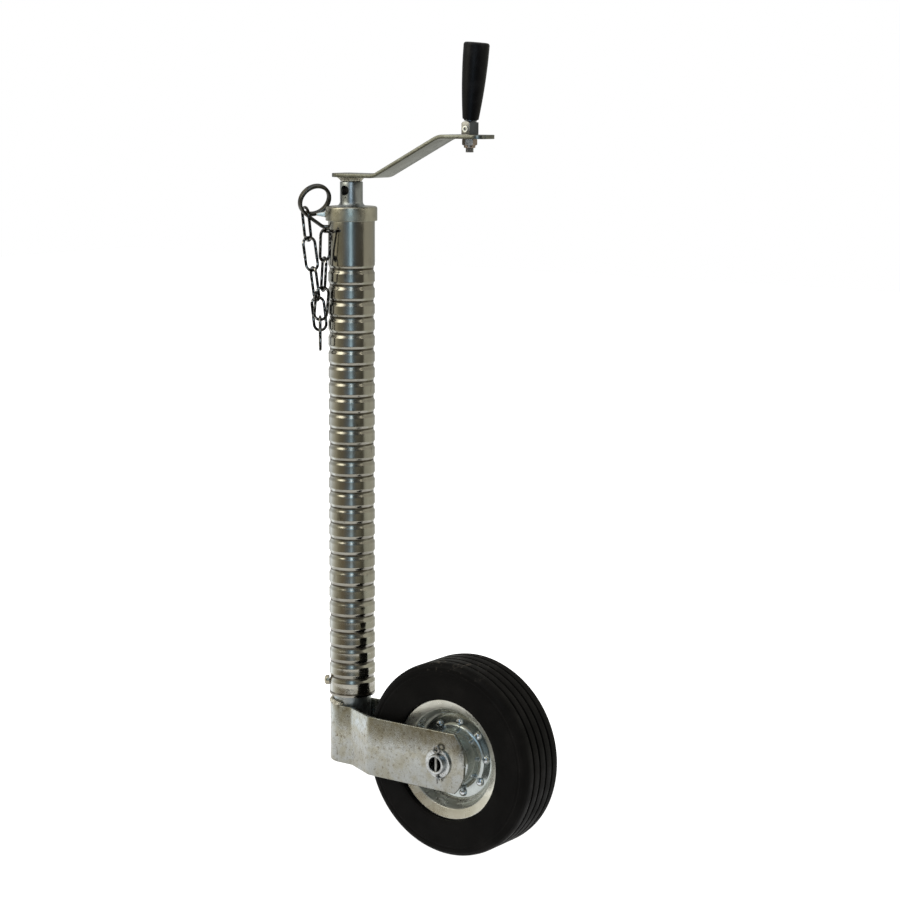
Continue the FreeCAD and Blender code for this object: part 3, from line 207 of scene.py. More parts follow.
def rounded(corners: Sequence[Point], radii: Values, steps: int = 4, closed: bool = True) -> Array:
    """Rounds the corners of an outline.

    Where two sides meet at an angle w, the arc of radius r touches each of them r / tan(w / 2) from the
    corner, and its points turn evenly from the one to the other.

    Args:
        corners: the outline's corners in order.
        radii: one radius for all corners, or one for each; 0 leaves a corner sharp.
        steps: pieces of each arc.
        closed: whether the last corner joins the first; the ends of an open line stay sharp.

    Returns:
        The points of the rounded outline, without repeats.
    """
    p = np.asarray(corners, float)
    r = np.broadcast_to(np.asarray(radii, float), (len(p),)).copy()
    if not closed:
        r[[0, -1]] = 0.0
    a, b = unit(np.roll(p, 1, 0) - p), unit(np.roll(p, -1, 0) - p)
    angle = np.arccos(np.clip((a * b).sum(1), -1, 1))
    r[angle > math.pi - 1e-4] = 0.0
    middle = unit(np.where(np.abs(a + b).sum(1, keepdims=True) < 1e-6, [[1.0, 0.0]], a + b))
    centre = p + middle * (r / np.sin(angle / 2))[:, None]
    reach = (r / np.tan(angle / 2))[:, None]
    first, last = p + a * reach - centre, p + b * reach - centre
    turn = (math.pi - angle)[:, None, None]
    share = np.linspace(0, 1, steps + 1)[None, :, None]
    safe = np.where(np.abs(np.sin(turn)) < 1e-9, 1.0, np.sin(turn))
    arc = (np.sin((1 - share) * turn) * first[:, None] + np.sin(share * turn) * last[:, None]) / safe
    line = np.where((r > 0)[:, None, None], arc + centre[:, None], p[:, None]).reshape(-1, 2)
    step = np.linalg.norm(line - np.roll(line, 1, 0), axis=1) > 1e-5
    step[0] = step[0] or not closed
    return line[step]


def turned(outline: Array, place: Place, segments: int = 144, warp: Optional[Warp] = None) -> Shape:
    """Turns an outline of (radius, height) about the place's z axis.

    The point at radius r and height h goes to (r cos a, r sin a, h) for every angle a of the circle. An
    outline whose two ends lie on the axis gets a pole there, and any other is a closed loop.

    Args:
        outline: the points of the outline in order.
        place: the axis it turns about.
        segments: points in each circle.
        warp: gives new radii and heights from radii, heights and angles, for an uneven surface.

    Returns:
        The closed surface, facing outwards.
    """
    outline = np.asarray(outline, float)
    poles = outline[0, 0] < 1e-6 and outline[-1, 0] < 1e-6
    tips = [(0, 0, height) for height in outline[[0, -1], 1]] if poles else ()
    body = outline[1:-1] if poles else outline
    angle = np.linspace(0, 2 * math.pi, segments, endpoint=False)
    r, a = np.meshgrid(body[:, 0], angle, indexing="ij")
    h = np.broadcast_to(body[:, 1:2], r.shape)
    if warp is not None:
        r, h = warp(r, h, a)
    return lofted(np.stack([r * np.cos(a), r * np.sin(a), h], -1), tips, place)


def rod(radius: float, low: float, high: float, place: Place, segments: int) -> Shape:
    """A plain round rod between two heights of the place, to drill with."""
    return turned([(0, low), (radius, low), (radius, high), (0, high)], place, segments)


def swept(path: Array, radius: float, side: Point, sides: int = 16, closed: bool = False) -> Shape:
    """Carries a circle along a path.

    Round the path's point p, with tangent t, lie p + r (cos a u + sin a v), where u is the given side
    direction made square to t, and v is t x u. An open end gets a dome of shrinking circles and a pole.

    Args:
        path: the points that the circle's middle follows.
        radius: the wire's radius.
        side: a direction that the path never runs along.
        sides: points in each circle.
        closed: whether the path's last point joins its first.

    Returns:
        The closed wire, facing outwards.
    """
    path = np.asarray(path, float)
    r = np.full(len(path), float(radius))
    tips = ()
    if closed:
        tangent = unit(np.roll(path, -1, 0) - np.roll(path, 1, 0))
    else:
        tangent = unit(np.gradient(path, axis=0))
        tips = [path[0] - tangent[0] * radius, path[-1] + tangent[-1] * radius]
        lift = np.radians([80.0, 55.0, 28.0])[:, None]
        domes = radius * np.cos(lift[:, 0])
        start = path[0] - tangent[0] * radius * np.sin(lift)
        finish = path[-1] + tangent[-1] * radius * np.sin(lift[::-1])
        path = np.vstack([start, path, finish])
        tangent = np.vstack([np.repeat(tangent[:1], 3, 0), tangent, np.repeat(tangent[-1:], 3, 0)])
        r = np.concatenate([domes, r, domes[::-1]])
    side = np.asarray(side, float)
    u = unit(side - (tangent @ side)[:, None] * tangent)
    v = np.cross(tangent, u)
    a = np.linspace(0, 2 * math.pi, sides, endpoint=False)[None, :, None]
    return lofted(path[:, None] + r[:, None, None] * (np.cos(a) * u[:, None] + np.sin(a) * v[:, None]), tips)


def flat_bar(line: Array, half: Values, thickness: float, edge: float, place: Place) -> Shape:
    """Carries the section of a flat bar along a line in the place's x-y plane.

    At the line's point p, with in-plane normal n, the section is a rectangle with rounded corners, from
    -thickness / 2 to thickness / 2 along n and from -half to half along z. The last rows at both ends
    shrink by the edge's radius, and a point in the middle closes each end.

    Args:
        line: the middle line's points.
        half: half the bar's width, or one for each point.
        thickness: the bar's thickness.
        edge: radius of the bar's long edges and ends.
        place: the plane that the line lies in.

    Returns:
        The closed bar, facing outwards.
    """
    line = np.asarray(line, float)
    half = np.broadcast_to(np.asarray(half, float), (len(line),))
    tangent = unit(np.gradient(line, axis=0))
    shrink, rise = edge * (1 - np.cos(EDGE_TURN)), edge * (1 - np.sin(EDGE_TURN))
    inner = np.linalg.norm(line - line[0], axis=1) > edge * 1.05
    inner &= np.linalg.norm(line - line[-1], axis=1) > edge * 1.05
    first, last = line[0] + tangent[0] * rise[:, None], line[-1] - tangent[-1] * rise[::-1, None]
    rows = np.vstack([first, line[inner], last])
    tangent = np.vstack([np.repeat(tangent[:1], 4, 0), tangent[inner], np.repeat(tangent[-1:], 4, 0)])
    give = np.concatenate([shrink, np.zeros(inner.sum()), shrink[::-1]])
    wide = np.concatenate([np.repeat(half[:1], 4), half[inner], np.repeat(half[-1:], 4)]) - give
    thick = thickness / 2 - give
    radius = np.minimum(edge, np.minimum(thick, wide) * 0.98)[:, None]
    arc = np.radians(np.linspace(0, 90, 4))
    bend = (arc + math.pi * np.array([[1.0], [1.5], [0.0], [0.5]])).ravel()
    sign = np.repeat([(-1.0, -1.0), (1.0, -1.0), (1.0, 1.0), (-1.0, 1.0)], 4, 0)
    n = sign[:, 0] * (thick[:, None] - radius) + radius * np.cos(bend)
    h = sign[:, 1] * (wide[:, None] - radius) + radius * np.sin(bend)
    across = np.stack([-tangent[:, 1], tangent[:, 0]], 1)
    flat = rows[:, None] + across[:, None] * n[..., None]
    rings = np.concatenate([flat, h[..., None]], -1)
    return lofted(rings, [rings[0].mean(0), rings[-1].mean(0)], place)


def slab(outline: Array, low: float, high: float, edge: float, place: Place) -> Shape:
    """Raises a convex outline between two heights, its rims rounded, and closes both faces from the middle.

    Ring k of a rim is the outline drawn in by edge (1 - cos b) towards its middle at the height
    edge (1 - sin b) inside the face, for angles b from 0 to 90 degrees.
    """
    outline = np.asarray(outline, float)
    middle = outline.mean(0)
    reach = np.linalg.norm(outline - middle, axis=1, keepdims=True)
    inset, rise = edge * (1 - np.cos(EDGE_TURN)), edge * (1 - np.sin(EDGE_TURN))
    inset = np.concatenate([inset, inset[::-1]])
    level = np.concatenate([low + rise, high - rise[::-1]])
    rings = middle + (outline - middle)[None] * (1 - inset[:, None, None] / reach[None])
    heights = np.broadcast_to(level[:, None, None], rings.shape[:2] + (1,))
    return lofted(np.concatenate([rings, heights], -1), [(*middle, low), (*middle, high)], place)


def rectangle(left: float, low: float, right: float, high: float) -> Array:
    """The four corners of a rectangle."""
    return np.array([(left, low), (right, low), (right, high), (left, high)])


def circle(radius: float, first: float, last: float, count: int, closed: bool = False) -> Array:
    """Points of a circle about the origin between two angles in degrees; a closed one leaves out the last."""
    turn = np.radians(np.linspace(first, last, count, endpoint=not closed))
    return np.stack([radius * np.cos(turn), radius * np.sin(turn)], 1)


def waviness(angle: Array, counts: Sequence[int], seed: int) -> Array:
    """An uneven ripple round a circle: a sum of sines of whole counts with fixed scattered phases."""
    chance = np.random.default_rng(seed)
    phases = chance.uniform(0, 2 * math.pi, len(counts))
    sizes = chance.uniform(0.5, 1.0, len(counts))
    waves = [size * np.sin(count * angle + phase) for size, count, phase in zip(sizes, counts, phases)]
    return np.sum(waves, axis=0) / sizes.sum()


def shortest_turn(start: Array, finish: Array) -> Array:
    """The turning matrix that takes one direction to another by the shortest way.

    With v = start x finish and c = start . finish it is 1 + [v] + [v] [v] / (1 + c).
    """
    a, b = unit(start), unit(finish)
    v, c = np.cross(a, b), float(a @ b)
    cross = np.array([[0, -v[2], v[1]], [v[2], 0, -v[0]], [-v[1], v[0], 0]])
    return np.eye(3) + cross + cross @ cross / (1 + c)


def turn_about(axis: str, degrees: float) -> Array:
    """The turning matrix about one of the row's axes."""
    return np.array(Matrix.Rotation(math.radians(degrees), 3, axis))


def swung(first: Array, second: Array, degrees: float) -> tuple[Array, Array]:
    """Two axes turned in their plane, the first one towards the second."""
    turn = math.radians(degrees)
    cosine, sine = math.cos(turn), math.sin(turn)
    return first * cosine + second * sine, second * cosine - first * sine


def hang_point(right: float, toward: float, height: float) -> Array:
    """The row's place of a point given to the side, to the front and up from the tube's foot."""
    turn = math.radians(VIEW)
    x = right * math.cos(turn) + toward * math.sin(turn)
    y = right * math.sin(turn) - toward * math.cos(turn)
    return np.array([x, y, FOOT + height])


# Pieces


class Body(Enum):
    """The moving bodies of the model."""

    HOUSING = "housing"
    CRANK = "crank"
    HANDLE = "handle"
    LEG = "leg"
    WHEEL = "wheel"


@dataclass(frozen=True)
class Role:
    """What a piece belongs to: its body, the record's material slot and the nodes that it stands for."""

    body: Body
    slot: str
    nodes: tuple[str, ...]


def as_mesh(name: str, shape: Shape) -> bpy.types.Mesh:
    """A mesh in metres of a shape in millimetres."""
    mesh = bpy.data.meshes.new(name)
    mesh.from_pydata((shape.points * MILLIMETRE).tolist(), [], shape.quads.tolist() + shape.tris.tolist())
    return mesh


def smooth(mesh: bpy.types.Mesh, crease: float) -> None:
    """Shades a mesh smoothly, apart from edges that turn by more than the crease, in degrees."""
    mesh.polygons.foreach_set("use_smooth", np.ones(len(mesh.polygons), bool))
    mesh.set_sharp_from_angle(angle=math.radians(crease))


def stand(name: str, data: bpy.types.ID) -> bpy.types.Object:
    """A new object in the scene, at the origin."""
    thing = bpy.data.objects.new(name, data)
    bpy.context.scene.collection.objects.link(thing)
    return thing


def matrix_at(axes: Sequence[Array], place: Point) -> Matrix:
    """The matrix of an object with the given x, y and z axes at a place in metres."""
    return Matrix([[*row, p] for row, p in zip(np.stack(axes, 1), place)] + [[0, 0, 0, 1]])


def drill(piece: bpy.types.Object, shape: Shape) -> None:
    """Cuts a shape out of a piece and keeps the piece's finish and smooth shading."""
    mesh = as_mesh("drill", shape)
    tool = stand("drill", mesh)
    cut = piece.modifiers.new("hole", "BOOLEAN")
    cut.object = tool
    cut.solver = "EXACT"
    graph = bpy.context.evaluated_depsgraph_get()
    result = bpy.data.meshes.new_from_object(piece.evaluated_get(graph))
    piece.modifiers.remove(cut)
    old = piece.data
    piece.data = result
    smooth(result, CREASE)
    bpy.data.meshes.remove(old)
    bpy.data.objects.remove(tool)
    bpy.data.meshes.remove(mesh)


# Finishes


class Nodes:
    """Builds the node tree of one material with short calls."""

    def __init__(self, name: str) -> None:
        """Starts an empty material with a shader and its output."""
        self.material = bpy.data.materials.new(name)
        self.material.use_nodes = True
        self.tree = self.material.node_tree
        self.tree.nodes.clear()
        self.shader = self.add("ShaderNodeBsdfPrincipled")
        output = self.add("ShaderNodeOutputMaterial")
        self.join(self.shader.outputs["BSDF"], output.inputs["Surface"])
        self.place = self.add("ShaderNodeTexCoord").outputs["Object"]

    def add(self, kind: str, **settings: object) -> bpy.types.Node:
        """A new node with its settings."""
        node = self.tree.nodes.new(kind)
        for key, value in settings.items():
            setattr(node, key, value)
        return node

    def join(self, source: Socket, target: Socket) -> None:
        """Links an output to an input."""
        self.tree.links.new(source, target)

    def feed(self, target: Socket, value: object) -> None:
        """Sets an input to a number or colour, or links an output to it."""
        if isinstance(value, bpy.types.NodeSocket):
            self.join(value, target)
        else:
            target.default_value = (*value, 1.0) if isinstance(value, tuple) else value

    def shade(self, **values: object) -> None:
        """Feeds the shader's inputs, each named with underscores for its spaces."""
        for name, value in values.items():
            self.feed(self.shader.inputs[name.replace("_", " ")], value)

    def stretched(self, scale: Colour) -> Socket:
        """Object coordinates drawn out or pressed together along the three axes."""
        node = self.add("ShaderNodeMapping")
        self.join(self.place, node.inputs["Vector"])
        node.inputs["Scale"].default_value = scale
        return node.outputs["Vector"]

    def noise(
        self, scale: float, detail: float, rough: float = 0.55, vector: Optional[Socket] = None
    ) -> Socket:
        """Fractal noise between 0 and 1."""
        node = self.add("ShaderNodeTexNoise")
        self.join(vector or self.place, node.inputs["Vector"])
        for key, value in (("Scale", scale), ("Detail", detail), ("Roughness", rough)):
            node.inputs[key].default_value = value
        return node.outputs["Fac"]

    def spread(
        self, value: Socket, low: float, high: float, to_low: float = 0.0, to_high: float = 1.0
    ) -> Socket:
        """Maps a range of values to another, smoothly and held at its ends."""
        node = self.add("ShaderNodeMapRange", interpolation_type="SMOOTHSTEP")
        self.join(value, node.inputs["Value"])
        for key, number in zip(("From Min", "From Max", "To Min", "To Max"), (low, high, to_low, to_high)):
            node.inputs[key].default_value = number
        return node.outputs["Result"]

    def maths(self, kind: str, first: object, second: object = 0.0) -> Socket:
        """One sum of two values."""
        node = self.add("ShaderNodeMath", operation=kind)
        self.feed(node.inputs[0], first)
        self.feed(node.inputs[1], second)
        return node.outputs[0]

    def blend(self, share: Socket, first: object, second: object) -> Socket:
        """Mixes two colours."""
        node = self.add("ShaderNodeMix", data_type="RGBA")
        for number, value in ((0, share), (6, first), (7, second)):
            self.feed(node.inputs[number], value)
        return node.outputs[2]

    def raised(self, height: Socket, distance: float) -> None:
        """Uses a height as the surface's relief."""
        node = self.add("ShaderNodeBump")
        node.inputs["Strength"].default_value = 1.0
        node.inputs["Distance"].default_value = distance
        self.join(height, node.inputs["Height"])
        self.join(node.outputs["Normal"], self.shader.inputs["Normal"])

    def height(self) -> Socket:
        """The object coordinate along the row's upright axis."""
        node = self.add("ShaderNodeSeparateXYZ")
        self.join(self.place, node.inputs[0])
        return node.outputs["Z"]


@dataclass(frozen=True)
class Zinc:
    """Zinc-plated steel: two tones in clouds, darker stains, fine pits and an uneven gloss.

    Attributes:
        name: the material's name.
        tone: main colour.
        other: colour of the clouds.
        stain: colour of the stains.
        stained: share of the surface that the stains reach, 0 to 1.
        rough: roughness of the polished places.
        dull: roughness of the dull places.
        cloud: size of the clouds, as noise scale.
        relief: height of the surface's unevenness in metres.
        metallic: share of metal in the shader.
        drawn: stretch of the pattern along the three axes.
    """

    name: str
    tone: Colour
    other: Colour
    stain: Colour
    stained: float
    rough: float
    dull: float
    cloud: float = 38.0
    relief: float = 0.00012
    metallic: float = 1.0
    drawn: Colour = (1.0, 1.0, 1.0)

    def start(self) -> tuple[Nodes, Socket, Socket]:
        """The tree with its relief, before anything of one piece is added.

        Returns:
            The tree, the colour and the roughness.
        """
        tree = Nodes(self.name)
        pattern = tree.stretched(self.drawn)
        clouds = tree.spread(tree.noise(self.cloud, 5.0, 0.6, pattern), 0.36, 0.64)
        edge = 0.78 - 0.42 * self.stained
        stains = tree.spread(tree.noise(self.cloud * 3.1, 6.0, 0.7, pattern), edge - 0.1, edge + 0.1)
        colour = tree.blend(stains, tree.blend(clouds, self.tone, self.other), self.stain)
        gloss = tree.noise(self.cloud * 2.2, 4.0, 0.6, pattern)
        pits = tree.noise(self.cloud * 9.0, 3.0, 0.6, pattern)
        tree.raised(tree.maths("ADD", pits, tree.maths("MULTIPLY", stains, -0.5)), self.relief)
        tree.shade(Metallic=self.metallic)
        return tree, colour, tree.spread(gloss, 0.3, 0.7, self.rough, self.dull)

    def make(self) -> bpy.types.Material:
        """The finished material."""
        tree, colour, rough = self.start()
        tree.shade(Base_Color=colour, Roughness=rough)
        return tree.material


@dataclass(frozen=True)
class RolledZinc(Zinc):
    """Zinc on the ribbed tube, with a dark line on the upper side of each groove: painted shade, a dark
    reflection painted into the colour.
    """

    # Colour of the painted shade line on each groove's down-facing side.
    painted_groove_shade: Colour = (0.06, 0.05, 0.035)

    def make(self) -> bpy.types.Material:
        """The finished material: where (z - first) / pitch is just over a whole number, the painted shade
        line lies.
        """
        tree, colour, rough = self.start()
        over = tree.maths("SUBTRACT", tree.height(), (FOOT + FIRST_GROOVE) * MILLIMETRE)
        turns = tree.maths("DIVIDE", over, GROOVE_PITCH * MILLIMETRE)
        shift = tree.maths("SUBTRACT", turns, tree.maths("ROUND", turns))
        # The painted shade band, just over each groove line and ragged along its length.
        band = tree.maths("MULTIPLY", tree.spread(shift, -0.06, 0.01), tree.spread(shift, 0.12, 0.07))
        ribbed = tree.maths("LESS_THAN", turns, GROOVES - 0.5)
        ragged = tree.spread(tree.noise(90.0, 4.0, 0.6), 0.25, 0.6, 0.45, 1.0)
        line = tree.maths("MULTIPLY", band, tree.maths("MULTIPLY", ribbed, ragged))
        rough = tree.maths("ADD", rough, tree.maths("MULTIPLY", line, 0.25))
        tree.shade(Base_Color=tree.blend(line, colour, self.painted_groove_shade), Roughness=rough)
        return tree.material


@dataclass(frozen=True)
class Rubber:
    """Black tyre rubber with a dusty bloom, pale wear on the top of the tread that is partly real wear and
    partly painted highlight, and a fine grain.
    """

    name: str = "tyre_rubber"
    tone: Colour = (0.004, 0.0037, 0.0034)
    dust: Colour = (0.012, 0.011, 0.01)
    # Colour of the pale wear, partly a painted highlight.
    wear_and_sheen: Colour = (0.07, 0.06, 0.048)
    rough: float = 0.55

    def make(self) -> bpy.types.Material:
        """The finished material; the pale wear lies in the upper part of the tread only, which makes it
        partly a painted highlight.
        """
        tree = Nodes(self.name)
        dusty = tree.spread(tree.noise(26.0, 5.0, 0.6), 0.42, 0.8)
        colour = tree.blend(tree.maths("MULTIPLY", dusty, 0.6), self.tone, self.dust)
        wear_and_sheen_mask = tree.spread(tree.noise(150.0, 5.0, 0.75, tree.stretched((1.0, 0.35, 1.0))), 0.56, 0.66)
        # Kept to the top of the tread: partly a painted highlight where the light falls.
        low, high = (AXLE_Z + TYRE_RADIUS - 16) * MILLIMETRE, (AXLE_Z + TYRE_RADIUS) * MILLIMETRE
        wear_and_sheen_mask = tree.maths("MULTIPLY", wear_and_sheen_mask, tree.spread(tree.height(), low, high))
        colour = tree.blend(wear_and_sheen_mask, colour, self.wear_and_sheen)
        rough = tree.spread(tree.noise(60.0, 3.0), 0.3, 0.7, self.rough - 0.08, self.rough + 0.1)
        tree.shade(Base_Color=colour, Roughness=rough, Specular_IOR_Level=0.05)
        tree.raised(tree.noise(900.0, 3.0, 0.7), 0.00008)
        return tree.material


@dataclass(frozen=True)
class Plastic:
    """Matt black moulded plastic with a fine texture, a little worn."""

    name: str = "grip_plastic"
    tone: Colour = (0.003, 0.003, 0.0035)
    worn: Colour = (0.008, 0.008, 0.009)
    rough: float = 0.38

    def make(self) -> bpy.types.Material:
        """The finished material."""
        tree = Nodes(self.name)
        wear = tree.spread(tree.noise(70.0, 5.0, 0.65), 0.45, 0.75)
        rough = tree.spread(tree.noise(120.0, 3.0), 0.3, 0.7, self.rough - 0.06, self.rough + 0.1)
        tree.shade(Base_Color=tree.blend(wear, self.tone, self.worn), Roughness=rough, Specular_IOR_Level=0.1)
        tree.raised(tree.noise(1400.0, 2.0, 0.6), 0.00005)
        return tree.material


DIRT_STAIN = (0.09, 0.085, 0.07)

# Every finish: name, tone, other, stain, stained, rough, dull, cloud, relief and metallic
FINISHES = (
    RolledZinc(
        "tube_zinc", (0.33, 0.32, 0.28), (0.26, 0.25, 0.215), DIRT_STAIN,
        0.26, 0.11, 0.22, 30.0, 0.00008, drawn=(1, 1, 0.35),
    ),
    Zinc("cap_zinc", (0.36, 0.35, 0.29), (0.27, 0.26, 0.215), DIRT_STAIN, 0.2, 0.24, 0.42),
    Zinc("neck_zinc", (0.3, 0.32, 0.32), (0.22, 0.235, 0.235), DIRT_STAIN, 0.2, 0.26, 0.42),
    # Bare steel: its near-black tone is painted shade, dark where the inner pieces show through holes and
    # gaps.
    Zinc("bare_steel", (0.05, 0.048, 0.044), (0.035, 0.033, 0.03), (0.015, 0.013, 0.012), 0.3, 0.35, 0.55),
    Zinc("stud_brass", (0.38, 0.35, 0.27), (0.27, 0.25, 0.19), (0.12, 0.1, 0.06), 0.2, 0.25, 0.4, 90.0),
    Zinc(
        "spring_steel", (0.1, 0.098, 0.088), (0.05, 0.048, 0.042), (0.02, 0.018, 0.015),
        0.2, 0.1, 0.24, 90.0,
    ),
    # Chain: the near-white tone and the near-black stains over most of it are painted highlights and painted
    # dark reflections, in random patches.
    Zinc(
        "chain_steel", (0.95, 0.95, 0.93), (0.4, 0.39, 0.36), (0.012, 0.01, 0.008),
        0.86, 0.05, 0.14, 90.0, 0.00004,
    ),
    Zinc(
        "weld_metal", (0.7, 0.67, 0.56), (0.42, 0.39, 0.3), (0.05, 0.042, 0.03),
        0.5, 0.24, 0.45, 130.0, 0.0006, 0.8,
    ),
    Zinc(
        "crank_zinc", (0.165, 0.173, 0.157), (0.13, 0.132, 0.115), (0.04, 0.035, 0.028),
        0.3, 0.18, 0.32, 45.0,
    ),
    Zinc(
        "clevis_steel", (0.24, 0.24, 0.235), (0.18, 0.18, 0.175), (0.08, 0.07, 0.06),
        0.15, 0.2, 0.36, 60.0, 0.00005,
    ),
    Zinc("nut_zinc", (0.3, 0.25, 0.21), (0.2, 0.165, 0.14), (0.06, 0.045, 0.035), 0.3, 0.22, 0.4, 110.0),
    # Joint steel: a darker, bluer copy of the clevis steel, painted shade for the clevis's back and the stem
    # inside it.
    Zinc(
        "joint_steel", (0.07, 0.08, 0.092), (0.055, 0.062, 0.07), (0.03, 0.03, 0.03),
        0.15, 0.2, 0.34, 60.0, 0.00004,
    ),
    Zinc(
        "fork_zinc", (0.33, 0.34, 0.325), (0.28, 0.272, 0.225), (0.1, 0.078, 0.045),
        0.38, 0.18, 0.3, 80.0, 0.00005, 0.96,
    ),
    Zinc("axle_zinc", (0.5, 0.52, 0.52), (0.34, 0.35, 0.35), (0.09, 0.08, 0.07), 0.3, 0.16, 0.32, 110.0),
    Zinc("pin_steel", (0.36, 0.36, 0.35), (0.2, 0.195, 0.18), (0.06, 0.05, 0.04), 0.3, 0.24, 0.4, 120.0),
    Zinc(
        "rim_zinc", (0.72, 0.72, 0.65), (0.6, 0.59, 0.51), (0.26, 0.23, 0.17),
        0.04, 0.22, 0.36, 34.0, 0.00004, 0.75,
    ),
    Zinc(
        "hub_zinc", (0.46, 0.5, 0.49), (0.36, 0.39, 0.38), (0.16, 0.16, 0.14),
        0.08, 0.14, 0.24, 30.0, 0.00002, 0.92,
    ),
    Zinc(
        "rivet_zinc", (0.6, 0.63, 0.66), (0.42, 0.44, 0.45), (0.12, 0.11, 0.1),
        0.15, 0.06, 0.16, 110.0, 0.00004,
    ),
    Rubber(),
    Plastic(),
)


# Sub-assemblies


@dataclass
class Assembly:
    """A group of pieces that are made together.

    Attributes:
        finishes: every material by its name, which is also that of the record's slot.
    """

    finishes: dict[str, bpy.types.Material]

    def add(
        self, name: str, shape: Shape, role: Role, finish: Optional[str] = None, crease: float = CREASE
    ) -> bpy.types.Object:
        """Puts a shape into the scene as a finished piece.

        Args:
            name: the piece's name.
            shape: its surface in millimetres.
            role: its body, slot and nodes.
            finish: the name of its material where that isn't the slot's.
            crease: edges that turn by more than this many degrees stay sharp.

        Returns:
            The new object, at the origin, with its place in its mesh.
        """
        mesh = as_mesh(name, shape)
        mesh.validate()
        smooth(mesh, crease)
        mesh.materials.append(self.finishes[finish or role.slot])
        piece = stand(name, mesh)
        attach(piece, role.body.value)
        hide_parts(*role.nodes)
        log.info("%-14s %6d faces", name, len(mesh.polygons))
        return piece


@dataclass
class RibbedTube(Assembly):
    """The tube that the clamp grips, with its cap, lug, neck sleeve and foot stud.

    Attributes:
        bore: radius of the tube's bore.
        length: length of the tube.
        depth: depth of a groove.
        floor: half the width of a groove's flat floor.
        shoulder: width of the slope beside it.
        swell: how far the rolled metal stands proud beside a groove.
    """

    bore: float = 21.0
    length: float = 508.5
    depth: float = 1.3
    floor: float = 0.7
    shoulder: float = 3.6
    swell: float = 0.14

    def build(self) -> None:
        """Makes every piece of the sub-assembly."""
        self.make_tube()
        self.make_cap()
        self.make_lug()
        self.make_neck()
        self.make_stud()

    def groove(self, height: Array) -> Array:
        """How far the wall is drawn in at a height above the foot, with smooth shoulders 3 s^2 - 2 s^3."""
        middle = np.clip(np.round((height - FIRST_GROOVE) / GROOVE_PITCH), 0, GROOVES - 1)
        off = np.abs(height - FIRST_GROOVE - middle * GROOVE_PITCH)
        share = np.clip((off - self.floor) / self.shoulder, 0, 1)
        swell = self.swell * np.exp(-(((off - 4.7) / 0.7) ** 2))
        return self.depth * (1 - share * share * (3 - 2 * share)) - swell

    def make_tube(self) -> None:
        """Ribbed wall: the outer line follows the grooves, and the bore is plain."""
        side = np.array([0.7, 1.15, 1.6, 2.05, 2.5, 2.95, 3.4, 3.85, 4.3, 4.8, 5.4])
        steps = np.concatenate([-side[::-1], side])
        rows = (FIRST_GROOVE + np.arange(GROOVES)[:, None] * GROOVE_PITCH + steps).ravel()
        rows = np.concatenate([[0.5, 4.0, 9.0], rows, [462.0, 476.0, 490.0, self.length - 0.5]])
        outer = np.stack([TUBE_RADIUS - self.groove(rows), rows], 1)
        upper = [(TUBE_RADIUS - 0.15, self.length - 0.15), (TUBE_RADIUS - 0.5, self.length)]
        inner = [(self.bore, self.length), (self.bore, self.length / 2), (self.bore, 0.0)]
        lower = [(TUBE_RADIUS - 0.5, 0.0), (TUBE_RADIUS - 0.15, 0.15)]
        tube = turned(np.vstack([outer, upper, inner, lower]), upright_at(FOOT))
        self.add("ribbed_tube", tube, Role(Body.HOUSING, "tube_zinc", ("outer_tube",)))

    def make_cap(self) -> None:
        """Turned cap with a rounded top edge."""
        outline = rounded(
            [(24.05, -11.6), (26.5, -11.6), (26.5, 3.0), (9.3, 3.0), (9.3, 0.0), (24.05, 0.0)],
            [0.2, 0.5, 2.2, 0.2, 0.2, 0.3],
            6,
        )
        cap = turned(outline, upright_at(TUBE_TOP), 160)
        self.add("tube_cap", cap, Role(Body.HOUSING, "cap_zinc", ("cap",)))

    def make_lug(self) -> None:
        """Tapered lug on the cap's side."""
        out, beside = directions(LUG_SIDE)
        line = np.linspace((26.2, 0.0), (36.0, 0.0), 8)
        lug = flat_bar(line, np.linspace(3.0, 1.2, 8), 5.0, 0.7, Place((0, 0, TUBE_TOP - 5.45), out, beside))
        self.add("cap_tab", lug, Role(Body.HOUSING, "cap_zinc", ("cap_lug",)), "rim_zinc")

    def make_neck(self) -> None:
        """Neck sleeve flared into the cap, with the locking hole and a small drill mark below it."""
        flare = circle(4.9, 270, 180, 9) + (16.6, 4.9)
        outline = np.vstack([[(9.3, 0.0)], flare, [(11.7, 24.4), (11.5, 24.8), (11.1, 25.0), (9.3, 25.0)]])
        role = Role(Body.HOUSING, "neck_zinc", ("neck_sleeve",))
        neck = self.add("neck_guide", turned(outline, upright_at(CAP_TOP), 128), role)
        drill(neck, rod(5.0, -40, 40, facing_front(0, CAP_TOP + 16.2), 64))
        drill(neck, rod(0.75, 0, 12, facing_front(1.2, CAP_TOP + 9.2), 24))

    def make_stud(self) -> None:
        """Domed stud at the tube's foot."""
        out, beside = directions(LUG_SIDE)
        dome = circle(1.0, 0, 90, 8)[:-1] * (5.0, 2.52) + (0.0, 3.08)
        outline = np.vstack([[(0.0, 0.12), (4.6, 0.12), (5.0, 0.5)], dome, [(0.0, 5.6)]])
        stud = turned(outline, Place(TUBE_RADIUS * out + (0, 0, FOOT + 14), beside, (0, 0, 1), out), 48)
        self.add("foot_stud", stud, Role(Body.HOUSING, "stud_brass", ("lower_stud",)))


